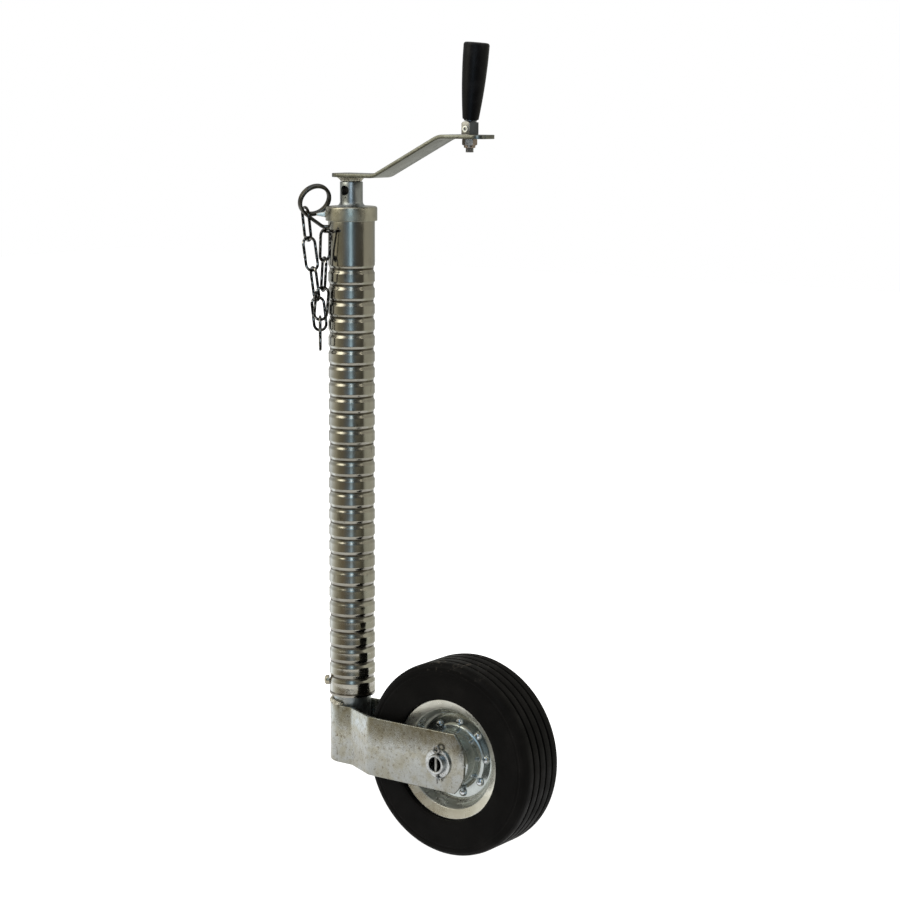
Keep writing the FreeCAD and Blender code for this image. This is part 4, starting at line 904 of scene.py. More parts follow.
@dataclass
class CrankHandle(Assembly):
    """The cranked arm on the spindle, its weld, the clevis joint and the folding grip.

    Attributes:
        lean: how far the grip leans outwards, in degrees.
        reach: distance of the grip's joint from the spindle.
        thickness: thickness of the arm.
    """

    lean: float = 5.4
    reach: float = 148.0
    thickness: float = 4.0

    def build(self) -> None:
        """Makes every piece of the sub-assembly."""
        self.make_weld()
        self.make_arm()
        self.make_clevis()
        self.make_rivet()
        self.make_nut()
        self.make_grip()

    def make_weld(self) -> None:
        """Bead between the spindle and the arm, rippled and sagging on its left side."""
        bore, low = 9.02, -3.9
        share = np.linspace(0, 1, 9)
        flare = np.stack([11.1 + 3.9 * share**1.7, low * (1 - share)], 1)

        def ripple(r: Array, h: Array, a: Array) -> tuple[Array, Array]:
            """Radii with ripples that grow towards the arm; heights that sag in waves."""
            depth = np.clip((r - 10.0) / 4.0, 0, 1)
            lump = 0.5 + 0.5 * np.cos(a - math.radians(215))
            r = r + depth * (0.9 * waviness(a, (3, 5, 9, 14, 23), 4) - 0.9 * (1 - lump))
            return r, h - 0.25 * depth * (waviness(a, (4, 7, 12), 9) + 0.4) * (h < -0.2)

        outline = np.vstack([[(bore, 0.0), (bore, low), (10.4, low)], flare])
        role = Role(Body.CRANK, "weld_metal", ("crank_weld",))
        self.add("neck_bead", turned(outline, upright_at(PLATE_UNDER), 160, ripple), role)

    def make_arm(self) -> None:
        """Flat bar bent twice, rounded in plan over the spindle and at its tip."""
        back, tip, low, high = -17.6, 171.5, 2.0, 42.8
        back_round, tip_round = 8.0, 11.0
        corners = [(back, low), (38.97, low), (120.27, high), (tip, high)]
        bends = rounded(corners, [0, 20, 24, 0], 12, closed=False)
        turn = np.radians(np.linspace(0, 90, 10))
        start = np.stack([back + back_round * (1 - np.cos(turn)), np.full(10, low)], 1)
        finish = np.stack([tip - tip_round * (1 - np.sin(turn)), np.full(10, high)], 1)
        plate = [(0.0, low), (12.0, low), (24.0, low)]
        line = np.vstack([start, plate, bends[1:-1], [(143.0, high)], finish])
        behind = np.clip((line[:, 0] - back) / back_round, 0, 1)
        ahead = np.clip((tip - line[:, 0]) / tip_round, 0, 1)
        half = 15.0 - 8.0 * (1 - np.sqrt(1 - (1 - behind) ** 2)) - 8.5 * (1 - np.sqrt(1 - (1 - ahead) ** 2))
        arm = flat_bar(line, half, self.thickness, 0.55, facing_front(0, PLATE_UNDER))
        self.add("cranked_bar", arm, Role(Body.CRANK, "crank_zinc", ("crank_arm",)))

    def make_clevis(self) -> None:
        """Clevis with two round-topped ears and its threaded end, and the thin web that closes its back,
        whose dark finish is painted shade.
        """
        place = facing_front(self.reach, ARM_TOP)
        half, foot, inside, outside = 5.0, 0.3, 3.2, 7.25
        crown = np.clip(circle(7.8, -40, 220, 25) + (0, JOINT_LIFT), (-half, foot), (half, 99.0))
        ear = np.vstack([[(-half, foot), (half, foot)], crown[crown[:, 1] > JOINT_LIFT]])
        clevis = slab(ear, inside, outside, 0.4, place) + slab(ear, -outside, -inside, 0.4, place)
        clevis = clevis + slab(rectangle(-half, 0.02, half, 1.2), -outside, outside, 0.2, place)
        threads = np.arange(-17.0, -12.2, 0.35)
        crests = np.stack([4.0 - 0.28 * (np.arange(len(threads)) % 2), threads], 1)
        shank = np.vstack([[(0.0, -17.2), (3.3, -17.2)], crests, [(3.9, -12.0), (3.9, 0.1), (0.0, 0.1)]])
        clevis = clevis + turned(shank, upright_at(ARM_TOP, self.reach), 40)
        role = Role(Body.CRANK, "clevis_steel", ("grip_clevis",))
        self.add("clevis", clevis, role)
        # The web's dark finish is painted shade on the clevis's back.
        web = slab(rectangle(4.9, 0.3, 5.4, 12.0), -7.3, 7.3, 0.15, place)
        self.add("clevis_back", web, role, "joint_steel")

    def make_rivet(self) -> None:
        """Tubular rivet through the clevis, with a rolled head on each side."""
        bore, hole, head, seat, top = 1.6, 2.2, 3.5, 7.25, 8.05
        upper = [(hole, 7.2), (head, seat), (head, top), (bore, top)]
        lower = [(bore, -top), (head, -top), (head, -seat), (hole, -7.2)]
        outline = rounded(lower + upper, [0.2, 0.35, 0.1, 0, 0, 0.1, 0.35, 0.2], 4)
        rivet = turned(outline, facing_front(self.reach, PIVOT), 40)
        self.add("joint_rivet", rivet, Role(Body.CRANK, "clevis_steel", ("clevis_rivet",)), "axle_zinc")

    def make_nut(self) -> None:
        """Lock nut under the arm, with a collar.

        At angle a the hexagon's radius is flat / cos(a from the nearest flat), and the chamfer's height
        there is that radius less the face's, times the tangent of 30 degrees.
        """
        flat, height, bore, collar = 6.5, 6.4, 4.05, 5.7
        face = flat * 0.97
        a = np.linspace(0, 2 * math.pi, 72, endpoint=False)
        hexagon = flat / np.cos((a + math.pi / 6) % (math.pi / 3) - math.pi / 6)
        cut = (hexagon - face) * math.tan(math.radians(30))
        profile = [
            (bore, -0.02), (face, -0.02), (hexagon, -cut), (hexagon, cut - height), (face, -height),
            (collar, -height - 0.1), (collar, -height - 1.9), (5.2, -height - 2.5), (bore, -height - 2.5),
        ]
        rings = [np.stack([r * np.cos(a), r * np.sin(a), level + 0 * a], -1) for r, level in profile]
        nut = lofted(np.stack(rings), place=upright_at(ARM_TOP - self.thickness, self.reach))
        self.add("lock_nut", nut, Role(Body.CRANK, "nut_zinc", ("clevis_nut",)), crease=20.0)

    def make_grip(self) -> None:
        """Bulging conical grip: its side is an arc between the foot's and the head's radius."""
        low, high, bulge = 9.4, 83.8, 1.2
        foot = low + 0.6
        share = np.linspace(0, 1, 40)
        radius = 8.0 + 4.8 * share + bulge * 4 * share * (1 - share)
        side = np.stack([radius, foot + (high - foot) * share], 1)
        crown = rounded([side[-8], side[-1], (0.0, high)], [0, 2.6, 0], 7, closed=False)
        base = [(0.0, low + 1.0), (4.4, low + 1.0), (4.5, low), (7.3, low), (7.8, low + 0.2)]
        turn = math.radians(self.lean)
        out, up = (math.cos(turn), 0, -math.sin(turn)), (math.sin(turn), 0, math.cos(turn))
        place = Place((self.reach, 0, PIVOT), out, (0, 1, 0), up)
        grip = turned(np.vstack([base, side[:-8], crown]), place, 96)
        self.add("hand_grip", grip, Role(Body.HANDLE, "grip_plastic", ("grip",)))


@dataclass
class ForkAndAxle(Assembly):
    """The strap that forms the fork, its weld, the tubular axle with its washers and split pins.

    Attributes:
        thickness: thickness of the strap.
        height: height of the strap.
        half_width: half the fork's width over its arms.
        inner: inner radius of the strap round the leg.
        straight: length of the strap beside the leg, up to the flare.
        arm_end: where the round end of an arm begins, along X.
        pins: distance of the split pins from the wheel's middle.
    """

    thickness: float = 3.6
    height: float = 62.0
    half_width: float = 40.4
    inner: float = 19.75
    straight: float = 17.0
    arm_end: float = 162.0
    pins: float = 44.8

    def build(self) -> None:
        """Makes every piece of the sub-assembly."""
        self.make_strap()
        self.make_weld()
        self.make_axle()
        for side, word in ((-1, "near"), (1, "far")):
            self.make_washer(side, word)
            self.make_split_pin(side, word)

    def make_strap(self) -> None:
        """The strap's middle line: a half circle round the leg, a flare of 26 degrees and a straight arm.

        Past arm_end the half height is that of a circle about the arm's nose: sqrt(r^2 - (x - nose)^2).
        """
        middle = self.inner + self.thickness / 2
        arm = self.half_width - self.thickness / 2
        flare = math.radians(26)
        mitre = self.thickness / 2 * math.tan(flare / 2)
        bend = self.straight + mitre
        second = self.straight + (self.half_width - self.inner - self.thickness) / math.tan(flare) + mitre
        radius, nose = 42.78, 132.52
        sweep = np.linspace(math.acos((self.arm_end - nose) / radius), math.acos(0.9995), 20)
        tip = np.stack([nose + radius * np.cos(sweep), np.full(20, arm)], 1)
        corners = [(0, middle), (bend, middle), (second, arm), (self.arm_end, arm)]
        side = rounded(corners, [0, 10.0, 12.0, 0], 12, closed=False)
        run = np.stack([np.linspace(second + 10.0, self.arm_end - 4.0, 14), np.full(14, arm)], 1)
        far = np.vstack([side[:-1], run, tip])
        line = np.vstack([far[::-1] * (1, -1), circle(middle, 270, 90, 37)[1:-1], far])
        fade = np.clip((np.abs(line[:, 0]) - nose) / radius, 0, 1)
        half = np.where(line[:, 0] > self.arm_end, radius * np.sqrt(1 - fade**2), self.height / 2)
        strap = flat_bar(line, half, self.thickness, 1.3, upright_at(FORK_TOP - self.height / 2))
        piece = self.add("fork_strap", strap, Role(Body.LEG, "fork_zinc", ("fork",)))
        drill(piece, rod(10.1, -60, 60, wheel_side(-1), 72))

    def make_weld(self) -> None:
        """Rippled bead on the strap's top edge, over 200 degrees round the back of the leg."""
        a = np.radians(np.linspace(80, 280, 121))
        b = np.radians(np.linspace(0, 360, 14, endpoint=False))
        ripple = 1 + 0.1 * waviness(a, (7, 13, 29, 53), 2)
        fade = np.clip(np.sin((a - a[0]) / (a[-1] - a[0]) * math.pi) * 6, 0.25, 1)
        size = (2.5 * ripple * fade)[:, None]
        r = 21.5 + size * np.cos(b)
        h = 1.4 + size * np.sin(b) * 1.1
        rings = np.stack([r * np.cos(a)[:, None], r * np.sin(a)[:, None], h], -1)
        bead = lofted(rings, [rings[0].mean(0), rings[-1].mean(0)], upright_at(FORK_TOP))
        self.add("fork_bead", bead, Role(Body.LEG, "weld_metal", ("fork_weld",)))

    def make_axle(self) -> None:
        """Tubular axle with chamfered ends, cross-drilled for the pins."""
        outline = rounded(rectangle(7.5, -47.4, 10.0, 47.4), 0.5, 3)
        role = Role(Body.LEG, "axle_zinc", ("axle",))
        axle = self.add("axle_tube", turned(outline, wheel_side(-1), 96), role)
        for side in (-1, 1):
            drill(axle, rod(1.9, -20, 20, Place((AXLE_X, side * self.pins, AXLE_Z)), 32))

    def make_washer(self, side: int, word: str) -> None:
        """Washer between the strap and the split pin."""
        outline = rounded(rectangle(10.1, 40.42, 15.0, 42.9), [0.1, 0.3, 0.5, 0.2], 4)
        role = Role(Body.LEG, "axle_zinc", (f"axle_washer_{word}",))
        self.add(f"end_washer_{word}", turned(outline, wheel_side(side), 80), role)

    def make_split_pin(self, side: int, word: str) -> None:
        """Split pin: one wire that makes the eye, and two legs bent apart under the axle.

        A leg has its full lean from 1 / bent_at of its length on.
        """
        plane = Place((AXLE_X, side * self.pins, AXLE_Z), (1, 0, 0), (0, 0, 1), (0, 1, 0))
        bent_at = 2.2

        def wire(flat: Array, radius: float, sides: int, closed: bool = False) -> Shape:
            """A wire along a line in the pin's plane, given along the wheel's x and height."""
            path = plane.of(np.column_stack([flat, np.zeros(len(flat))]))
            return swept(path, radius, (0, 1, 0), sides, closed)

        pin = wire(circle(3.4, -90, 270, 40, closed=True) + (0, 15.4), 1.28, 14, closed=True)
        pin = pin + wire(np.stack([np.zeros(12), np.linspace(11.5, -11.0, 12)], 1), 1.55, 16)
        for lean, length in ((12.0, 9.0), (48.0, 6.8)):
            tilt = np.radians(lean) * np.clip(np.linspace(0, 1, 12) * bent_at, 0, 1)
            x = np.cumsum(np.sin(tilt)) * length / 12
            z = -10.8 - np.cumsum(np.cos(tilt)) * length / 12
            pin = pin + wire(np.stack([x, z], 1), 1.0, 12)
        self.add(f"cotter_{word}", pin, Role(Body.LEG, "pin_steel", (f"split_pin_{word}",)))


@dataclass
class Wheel(Assembly):
    """Solid tyre on two pressed rim halves, with riveted hub cups.

    Attributes:
        rivets: number of rivets in a hub.
        rivet_ring: radius of the circle that they stand on.
    """

    rivets: int = 9
    rivet_ring: float = 37.4

    def build(self) -> None:
        """Makes every piece of the sub-assembly."""
        self.make_tyre()
        for side, word in ((-1, "near"), (1, "far")):
            self.make_rim(side, word)
            self.make_hub(side, word)
            self.make_rivets(side, word)

    def make_tyre(self) -> None:
        """Tyre with square shoulders, four tread grooves and a shallow ring on each sidewall."""
        top, floor = TYRE_RADIUS, TYRE_RADIUS - 2.6
        groove = [(top, -1.35), (floor, -0.8), (floor, 0.8), (top, 1.35)]
        tread = [(r, middle + h) for middle in (-15.975, -5.325, 5.325, 15.975) for r, h in groove]
        half = [
            (49.05, 6.0), (53.55, 19.95), (62.6, 23.6), (62.6, 30.0), (66.0, 30.4),
            (89.0, 30.4), (90.0, 30.0), (91.4, 30.0), (92.4, 30.3),
        ]
        half += [(92.4 + 7.6 * math.sin(t), 22.6 + 7.7 * math.cos(t)) for t in np.radians([25, 50, 72, 90])]
        outline = [(r, -h) for r, h in half] + tread + half[::-1]
        tyre = turned(rounded(outline, 0.35, 3), wheel_side(-1), 240)
        self.add("tyre_ring", tyre, Role(Body.WHEEL, "tyre_rubber", ("tyre",)), crease=30.0)

    def make_rim(self, side: int, word: str) -> None:
        """Pressed rim half: rolled lip, bead seat, well, disc and throat."""
        corners = [
            (62.3, 25.6), (51.5, 22.0), (47.0, 8.0), (30.6, 8.0), (30.6, 0.02),
            (32.6, 0.02), (32.6, 6.0), (49.0, 6.0), (53.5, 20.0), (62.3, 23.6),
        ]
        outline = rounded(corners, [0.95, 3.6, 6.6, 0.8, 0.2, 0.2, 1.5, 6.0, 2.6, 0.95], 8)
        role = Role(Body.WHEEL, "rim_zinc", (f"rim_{word}",))
        self.add(f"rim_half_{word}", turned(outline, wheel_side(side), 200), role)

    def make_hub(self, side: int, word: str) -> None:
        """Pressed hub cup: flange, tapering side and closed nose round the axle."""
        corners = [
            (46.0, 8.05), (43.0, 10.0), (31.0, 10.0), (28.2, 33.0),
            (14.0, 33.0), (14.0, 31.0), (25.6, 31.0), (28.6, 8.02),
        ]
        outline = rounded(corners, [0.1, 2.0, 5.4, 7.0, 0.4, 0.3, 5.0, 0.3], 10)
        role = Role(Body.WHEEL, "hub_zinc", (f"hub_{word}",))
        self.add(f"hub_cup_{word}", turned(outline, wheel_side(side), 160), role)

    def make_rivets(self, side: int, word: str) -> None:
        """Domed rivets round the hub, each with its tail behind the rim."""
        dome = circle(1.0, 0, 88, 7) * (4.3, 3.9) + (0.0, 10.0)
        tail = [(0.0, 4.6), (3.0, 4.6), (3.4, 5.0), (3.4, 5.98), (2.4, 6.0), (2.4, 10.0)]
        rivet = turned(np.vstack([tail, dome, [(0.0, 13.9)]]), Place(), 28)
        hub = wheel_side(side)
        turn = np.radians(4.0 + 360.0 / self.rivets * np.arange(self.rivets))
        centres = np.stack([-side * np.cos(turn), side * np.sin(turn), 0 * turn], 1) * self.rivet_ring
        places = [Place(centre, hub.x, hub.y, hub.z) for centre in hub.of(centres)]
        copies = [Shape(place.of(rivet.points), rivet.quads, rivet.tris) for place in places]
        ring = sum(copies[1:], copies[0]).outward()
        self.add(f"rivets_{word}", ring, Role(Body.WHEEL, "rivet_zinc", (f"hub_rivets_{word}",)))


@dataclass
class RingPinAndChain(Assembly):
    """The spring-wire ring pin in its parking hole, the eye on the tube and the chain between them.

    Attributes:
        wire: radius of a link's wire.
        length: length of a link.
        width: width of a link.
        slack: clearance between one link and the next.
        centre: the ring's middle, to the side, to the front and up from the tube's foot.
        coil: radius of the ring at the middle of its wire.
        spring: radius of the ring's wire.
        eye_height: height of the eye above the tube's foot.
        eye: radius of the eye at the middle of its wire.
        eye_gap: distance between the tube and the eye's wire, to its middle.
    """

    wire: float = 1.5
    length: float = 37.0
    width: float = 16.0
    slack: float = 0.15
    centre: Point = (-37.6, 5.0, 517.6)
    coil: float = 16.2
    spring: float = 1.9
    eye_height: float = 487.0
    eye: float = 5.2
    eye_gap: float = 2.0

    def build(self) -> None:
        """Makes every piece of the sub-assembly, and the two strands of the chain from their tops down."""
        self.make_ring_pin()
        self.make_eye()
        inside = self.coil - self.spring - self.wire - 0.5
        angle = math.radians(216.2)
        right, toward, height = self.centre
        top = (right + inside * math.cos(angle), toward - 2.07, height + inside * math.sin(angle))
        poses = ((-60, 0.101, 0.002), (25, 0.131, 0.037), (-65, 0.13, 0.039), (18, 0.111, 0.037))
        self.hang((1, 2, 3, 4), top, poses)
        aim = math.radians(EYE_SIDE - VIEW)
        reach = TUBE_RADIUS + self.eye_gap + self.eye * 2
        top = (reach * math.cos(aim), -reach * math.sin(aim), self.eye_height + 1.3 + self.wire + self.slack)
        poses = ((43, -0.034, -0.23), (-73, -0.06, -0.1), (14, -0.09, -0.15), (92, 0.001, -0.025))
        self.hang((8, 7, 6, 5), top, poses)

    def make_ring_pin(self) -> None:
        """Spring wire wound twice, whose tail runs down into the hole under the cap.

        The coil's point at angle a is R (cos a x + sin a y) + p a z on the ring's own axes, where p is
        one wire for each turn; the tail is a cubic curve from the coil's end to the hole.
        """
        tilt = turn_about("Z", VIEW) @ turn_about("X", 90) @ turn_about("Z", 43) @ turn_about("X", 35)
        flat = circle(self.coil, 180 - 700, 180, 150)
        rise = self.spring * 1.3 * np.linspace(-1, 1, 150)
        coil = np.column_stack([flat, rise]) @ tilt.T + hang_point(*self.centre)
        tail = self.tail(coil, hang_point(-29.5, 0.0, 490.4), hang_point(-21.6, 0.0, 490.4))
        pin = swept(np.vstack([coil, tail]), self.spring, tilt @ np.array([0, 0, 1.0]), 18)
        self.add("ring_wire", pin, Role(Body.HOUSING, "spring_steel", ("ring_pin",)))

    def tail(self, coil: Array, corner: Array, end: Array) -> Array:
        """A cubic from the coil's end to the corner, then a short bend into the hole."""
        start, leave, bend_length = coil[-1], unit(coil[-1] - coil[-2]), 2.5
        t = np.linspace(0, 1, 24)[1:, None]
        down = unit(corner - start)
        first, second, before = start + leave * 6.0, corner - down * 8.0, corner - down * bend_length
        run = (1 - t) ** 3 * start + 3 * (1 - t) ** 2 * t * first
        run = run + 3 * (1 - t) * t**2 * second + t**3 * before
        after = corner + unit(end - corner) * bend_length
        bend = (1 - t) ** 2 * before + 2 * (1 - t) * t * corner + t**2 * after
        return np.vstack([run, bend[::3], after + (end - after) * np.linspace(0.2, 1, 5)[:, None]])

    def make_eye(self) -> None:
        """Eye of bent wire on a short shank in the tube's wall."""
        level = Place((0, 0, FOOT + self.eye_height), *directions(EYE_SIDE))
        centre = TUBE_RADIUS + self.eye_gap + self.eye
        ring = circle(self.eye, 180, 540, 48, closed=True) + (centre, 0)
        shank = np.linspace((23.9, 0, 0), (27.0, 0, 0), 6)
        eye = swept(level.of(np.column_stack([ring, np.zeros(48)])), 1.6, (0, 0, 1), 14, closed=True)
        eye = eye + swept(level.of(shank), 1.3, (0, 0, 1), 14)
        self.add("chain_eye", eye, Role(Body.HOUSING, "chain_steel", ("chain_eyelet",)))

    def link_path(self) -> Array:
        """Middle line of a link hung from its top: two half circles joined by straight legs."""
        bend = self.width / 2 - self.wire
        leg = self.length - self.width
        upper = circle(bend, 0, 180, 17) + (0, -bend)
        lower = circle(bend, 0, 180, 17) * (-1, -1) + (0, -bend - leg)
        down = np.stack([np.full(4, -bend), -bend - leg * np.array([0.2, 0.4, 0.6, 0.8])], 1)
        flat = np.vstack([upper, down, lower, down[::-1] * (-1, 1)])
        return np.stack([flat[:, 0], np.zeros(len(flat)), flat[:, 1]], 1)

    def hang(self, numbers: Sequence[int], top: Point, poses: Sequence[Point]) -> None:
        """Hangs links one in the other.

        Args:
            numbers: the links' numbers from the top down.
            top: where the first one hangs, to the side, to the front and up.
            poses: each one's turn in degrees and its lean to the side and to the front.
        """
        link = swept(self.link_path(), self.wire, (0, 1, 0), 14, closed=True)
        for number, (turn, lean_right, lean_toward) in zip(numbers, poses):
            drop = (self.length - self.wire * 2) / math.sqrt(1 + lean_right**2 + lean_toward**2)
            bottom = (top[0] + drop * lean_right, top[1] + drop * lean_toward, top[2] - drop)
            down = hang_point(*bottom) - hang_point(*top)
            matrix = shortest_turn(np.array([0, 0, -1.0]), down) @ turn_about("Z", VIEW + turn)
            shape = Shape(link.points @ matrix.T + hang_point(*top), link.quads, link.tris)
            role = Role(Body.HOUSING, "chain_steel", (f"chain_link_{number}",))
            self.add(f"link_{number}", shape, role)
            top = (bottom[0], bottom[1], bottom[2] + self.wire * 2 + self.slack)


def dress_kept_nodes(finishes: dict[str, bpy.types.Material]) -> None:
    """Gives the model's own inner pieces their finishes."""
    kept = {
        # The inner pieces take the near-black steel, painted shade for holes and gaps.
        "bare_steel": ("thrust_washer", "spindle", "lift_nut", "bearing_near", "bearing_far"),
        "neck_zinc": ("inner_tube",),
        # The stem takes the painted-shade steel of the clevis's back.
        "joint_steel": ("grip_stem",),
        "axle_zinc": ("axle_spacer_near", "axle_spacer_far"),
    }
    for finish, names in kept.items():
        for name in names:
            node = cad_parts[name]
            node.data.materials.clear()
            node.data.materials.append(finishes[finish])


# Studio

# The screen's azimuths, in degrees to the right from the camera's own, and its tones there near the
# floor, at the height of the crank and overhead, each as red, green and blue
# The tones glow: painted reflections for the metal, the brightest ones standing in for lamps.
SCREEN = (
    (-180, 1.3, 1.3, 1.2, 0.4, 0.4, 0.37, 0.5, 0.5, 0.47),
    (-150, 1.0, 1.0, 0.96, 0.6, 0.6, 0.57, 0.5, 0.5, 0.48),
    (-128, 2.2, 2.36, 2.55, 0.6, 0.61, 0.59, 0.45, 0.45, 0.43),
    (-112, 1.5, 1.54, 1.52, 0.6, 0.6, 0.56, 0.45, 0.43, 0.38),
    (-96, 0.95, 0.93, 0.82, 0.6, 0.57, 0.45, 0.8, 0.74, 0.6),
    (-83, 0.62, 0.58, 0.46, 0.6, 0.55, 0.4, 2.6, 2.45, 2.0),
    (-70, 0.42, 0.37, 0.27, 0.36, 0.34, 0.24, 3.4, 3.25, 2.7),
    (-59, 0.32, 0.27, 0.19, 0.34, 0.32, 0.24, 2.9, 2.75, 2.3),
    (-48, 0.32, 0.26, 0.18, 0.3, 0.28, 0.23, 0.7, 0.65, 0.55),
    (-37, 0.26, 0.24, 0.19, 0.25, 0.28, 0.3, 0.22, 0.21, 0.19),
    (-27, 0.22, 0.22, 0.2, 0.28, 0.35, 0.43, 0.22, 0.25, 0.27),
    (-15, 0.26, 0.28, 0.28, 0.4, 0.62, 0.85, 0.6, 0.75, 0.9),
    (-11, 0.5, 0.52, 0.54, 1.05, 1.55, 2.0, 2.2, 2.6, 3.0),
    (-4, 0.5, 0.52, 0.54, 1.05, 1.55, 2.0, 2.2, 2.6, 3.0),
    (0, 0.3, 0.32, 0.32, 0.3, 0.46, 0.62, 0.4, 0.5, 0.55),
    (8, 0.26, 0.27, 0.24, 0.15, 0.2, 0.24, 0.16, 0.18, 0.18),
    (22, 0.36, 0.33, 0.24, 0.12, 0.12, 0.12, 0.12, 0.12, 0.11),
    (46, 0.22, 0.21, 0.15, 0.12, 0.115, 0.1, 0.3, 0.28, 0.24),
    (52, 0.13, 0.12, 0.09, 0.13, 0.12, 0.1, 1.8, 1.7, 1.45),
    (58, 0.2, 0.19, 0.15, 0.15, 0.14, 0.12, 0.5, 0.48, 0.4),
    (66, 0.75, 0.78, 0.68, 0.68, 0.65, 0.54, 0.5, 0.48, 0.4),
    (90, 0.85, 0.87, 0.76, 0.72, 0.69, 0.58, 0.6, 0.58, 0.5),
    (121, 0.9, 0.88, 0.76, 0.62, 0.6, 0.52, 0.6, 0.58, 0.5),
    (150, 0.8, 0.8, 0.74, 0.4, 0.4, 0.37, 0.5, 0.5, 0.47),
    (180, 1.3, 1.3, 1.2, 0.4, 0.4, 0.37, 0.5, 0.5, 0.47),
)


def seen(tree: bpy.types.NodeTree) -> Socket:
    """1 for a ray from the camera, off metal or through glass, and 0 for light."""
    path = tree.nodes.new("ShaderNodeLightPath")
    total = path.outputs["Is Camera Ray"]
    for name in ("Is Glossy Ray", "Is Transmission Ray"):
        either = tree.nodes.new("ShaderNodeMath")
        either.operation = "MAXIMUM"
        tree.links.new(total, either.inputs[0])
        tree.links.new(path.outputs[name], either.inputs[1])
        total = either.outputs[0]
    return total


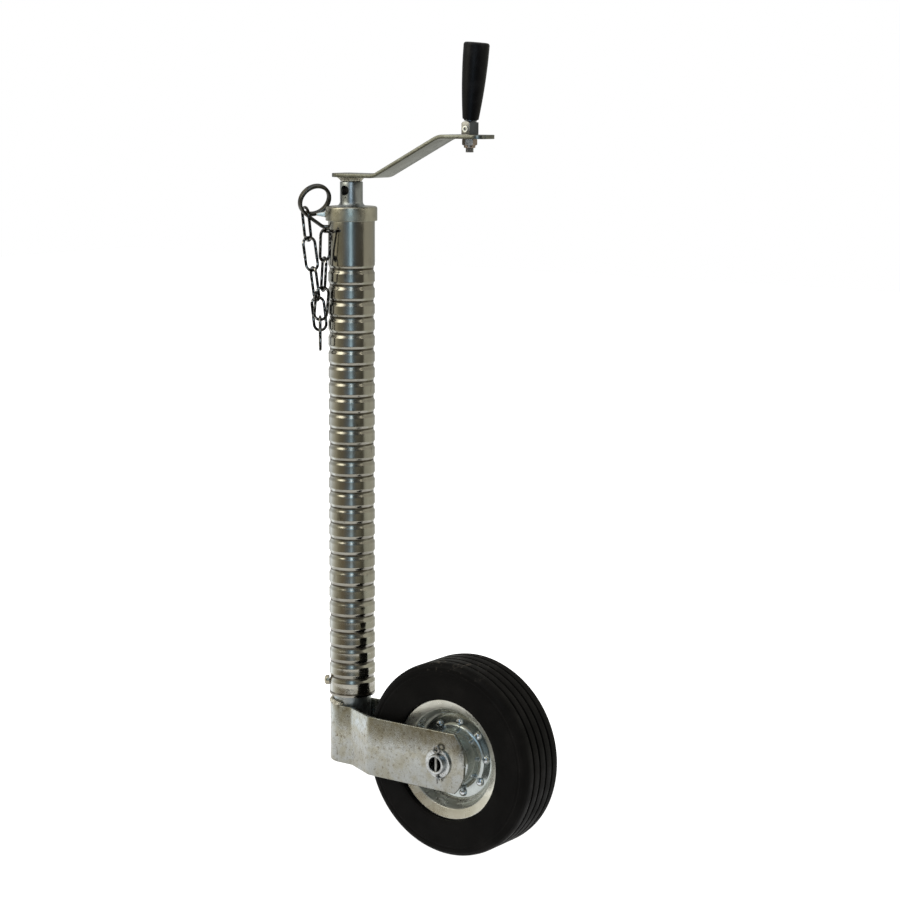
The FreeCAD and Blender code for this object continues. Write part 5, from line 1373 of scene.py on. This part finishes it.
@dataclass
class Studio:
    """Plain pale floor, white backdrop, soft lamps, the glowing screen of painted reflections that the metal
    mirrors, and the camera.

    Attributes:
        ambient: strength of the surroundings as a light.
        floor_tone: brightness of the floor as a lit surface.
        floor_lift: what the floor near the object adds to its lit colour when it is seen or mirrored.
        leg_stroke: how far the leg runs out, which is how far the floor lies below the wheel at rest.
        screen_radius: radius of the round screen.
        screen_levels: heights at which the screen has the tones near the floor, at the crank and overhead.
        screen_top: height of its upper edge.
        aim: the lamps' target, and the screen's middle, in metres.
    """

    ambient: float = 0.42
    floor_tone: float = 0.8
    floor_lift: float = 0.45
    leg_stroke: float = 231.0
    screen_radius: float = 620.0
    screen_levels: tuple[float, float, float] = (AXLE_Z - 99.0, 290.0, 360.0)
    screen_top: float = 1100.0
    aim: Point = (0.05, 0.0, 0.0)

    def build(self) -> None:
        """Makes the floor, the surroundings, the lamps and the camera."""
        self.make_world()
        self.make_floor()
        self.make_screen()
        self.make_lamp("key", (-1.2, -2.3, 2.7), 60.0, (1.0, 0.98, 0.94))
        self.make_lamp("fill", (2.8, 1.0, 1.4), 22.0, (1.0, 0.98, 0.95))
        self.make_camera()

    def make_world(self) -> None:
        """White to the eye and in reflections, and a softer grey as a light."""
        world = bpy.data.worlds.new("studio")
        world.use_nodes = True
        tree = world.node_tree
        tree.nodes.clear()
        white = tree.nodes.new("ShaderNodeBackground")
        grey = tree.nodes.new("ShaderNodeBackground")
        grey.inputs["Strength"].default_value = self.ambient
        mix = tree.nodes.new("ShaderNodeMixShader")
        tree.links.new(seen(tree), mix.inputs[0])
        for shader, place in ((grey, 1), (white, 2)):
            shader.inputs["Color"].default_value = (1.0, 1.0, 1.0, 1.0)
            tree.links.new(shader.outputs[0], mix.inputs[place])
        output = tree.nodes.new("ShaderNodeOutputWorld")
        tree.links.new(mix.outputs[0], output.inputs["Surface"])
        bpy.context.scene.world = world

    def set_up(self, name: str, mesh: bpy.types.Mesh, material: bpy.types.Material) -> bpy.types.Object:
        """Puts a thing of the studio into the scene."""
        thing = stand(name, mesh)
        mesh.materials.append(material)
        thing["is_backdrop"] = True
        return thing

    def make_floor(self) -> None:
        """A wide pale floor at the height where the wheel stands with its leg run out.

        It is white to the eye apart from soft shadow: within 0.7 m of the origin it adds floor_lift to
        its lit colour, and past 1.6 m it shines as white as the backdrop.
        """
        level = (AXLE_Z - TYRE_RADIUS - self.leg_stroke) * MILLIMETRE
        mesh = bpy.data.meshes.new("floor")
        corners = [(x, y, level) for x, y in rectangle(-9, -9, 9, 9).tolist()]
        mesh.from_pydata(corners, [], [(0, 1, 2, 3)])
        tree = Nodes("floor_paint")
        reach = tree.add("ShaderNodeVectorMath", operation="LENGTH")
        tree.join(tree.place, reach.inputs[0])
        lift = tree.spread(reach.outputs["Value"], 0.7, 1.6, self.floor_lift, 1.0)
        tree.shade(
            Base_Color=(self.floor_tone,) * 3,
            Roughness=0.9,
            Specular_IOR_Level=0.1,
            Emission_Color=(1.0, 1.0, 1.0),
            Emission_Strength=tree.maths("MULTIPLY", lift, seen(tree.tree)),
        )
        self.set_up("floor", mesh, tree.material)

    def make_screen(self) -> None:
        """A round screen that glows in pale and dark bands, with a narrower foot, that shows only in the
        metal: painted reflections.

        Its colour at an azimuth and a height is interpolated between the stops of its three rows; the
        foot keeps the colour of the lowest row.
        """
        azimuth = np.linspace(-180, 180, 361)
        foot, crank, head = self.screen_levels
        height = np.concatenate([[foot, foot], np.linspace(foot, head, 24), [self.screen_top]])
        radius = np.concatenate([[0.85], np.ones(26)]) * self.screen_radius * MILLIMETRE
        angle = np.radians(azimuth - 90 + VIEW)
        x, y = radius[:, None] * np.cos(angle) + self.aim[0], radius[:, None] * np.sin(angle)
        z = np.broadcast_to(height[:, None] * MILLIMETRE, x.shape)
        points = np.stack([x, y, z], -1).reshape(-1, 3)
        stops = np.array(SCREEN)
        tones = [np.interp(azimuth, stops[:, 0], tone) for tone in stops[:, 1:].T]
        lowest, middle, highest = np.array(tones).reshape(3, 3, -1).transpose(0, 2, 1)
        low = np.clip((height - foot) / (crank - foot), 0, 1)[:, None, None]
        high = np.clip((height - crank) / (head - crank), 0, 1)[:, None, None]
        colour = (lowest * (1 - low) + middle * low) * (1 - high) + highest * high
        mesh = bpy.data.meshes.new("screen")
        mesh.from_pydata(points.tolist(), [], weave(len(height), len(azimuth), False, False).tolist())
        paint = mesh.color_attributes.new("cloth", "FLOAT_COLOR", "POINT")
        paint.data.foreach_set("color", np.concatenate([colour, np.ones((*colour.shape[:2], 1))], -1).ravel())
        tree = Nodes("screen_cloth")
        tone = tree.add("ShaderNodeAttribute", attribute_name="cloth").outputs["Color"]
        tree.shade(Base_Color=(0.0,) * 3, Specular_IOR_Level=0.0, Emission_Color=tone, Emission_Strength=1.0)
        screen = self.set_up("screen", mesh, tree.material)
        for way in ("camera", "diffuse", "transmission", "volume_scatter", "shadow"):
            setattr(screen, f"visible_{way}", False)

    def make_lamp(self, name: str, place: Point, power: float, colour: Colour) -> None:
        """A soft square lamp that looks at the middle of the object."""
        light = bpy.data.lights.new(name, "AREA")
        light.shape = "SQUARE"
        light.size = 1.6
        light.energy = power
        light.color = colour
        z = -unit(np.array(self.aim) - np.array(place))
        x = unit(np.cross((0, 0, 1), z))
        lamp = stand(name, light)
        lamp.matrix_world = matrix_at([x, np.cross(z, x), z], place)
        lamp.visible_camera = False

    def make_camera(self) -> None:
        """The camera at the photograph's place.

        Its axes start level at the azimuth, then turn by the yaw about the upright, by the pitch about
        its right, and by the roll about its line of sight.
        """
        data = bpy.data.cameras.new("camera")
        data.sensor_width = 36.0
        data.lens = 90.52
        data.clip_end = 50.0
        right, ahead = directions(VIEW)
        up = np.array([0.0, 0.0, 1.0])
        yaw, pitch, roll = 2.51, 8.88, 0.27
        ahead, right = swung(ahead, right, yaw)
        up, ahead = swung(up, ahead, pitch)
        right, up = swung(right, up, roll)
        camera = stand("camera", data)
        camera.matrix_world = matrix_at([right, up, -ahead], (1.4480, -1.8203, 0.381185))
        bpy.context.scene.camera = camera


def as_numbers(box: object) -> object:
    """Plain nested lists of numbers from a box of vectors."""
    if hasattr(box, "__len__"):
        return [as_numbers(part) for part in box]
    return float(box)


def main() -> None:
    """Builds the sub-assemblies in order, then the studio."""
    bpy.context.scene.view_settings.view_transform = "Standard"
    finishes = {kind.name: kind.make() for kind in FINISHES}
    for assembly in (RibbedTube, CrankHandle, ForkAndAxle, Wheel, RingPinAndChain):
        assembly(finishes).build()
    dress_kept_nodes(finishes)
    Studio().build()
    {"cad": as_numbers(CAD_BOX), "visual": as_numbers(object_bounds())}


if __name__ == "__main__":
    main()
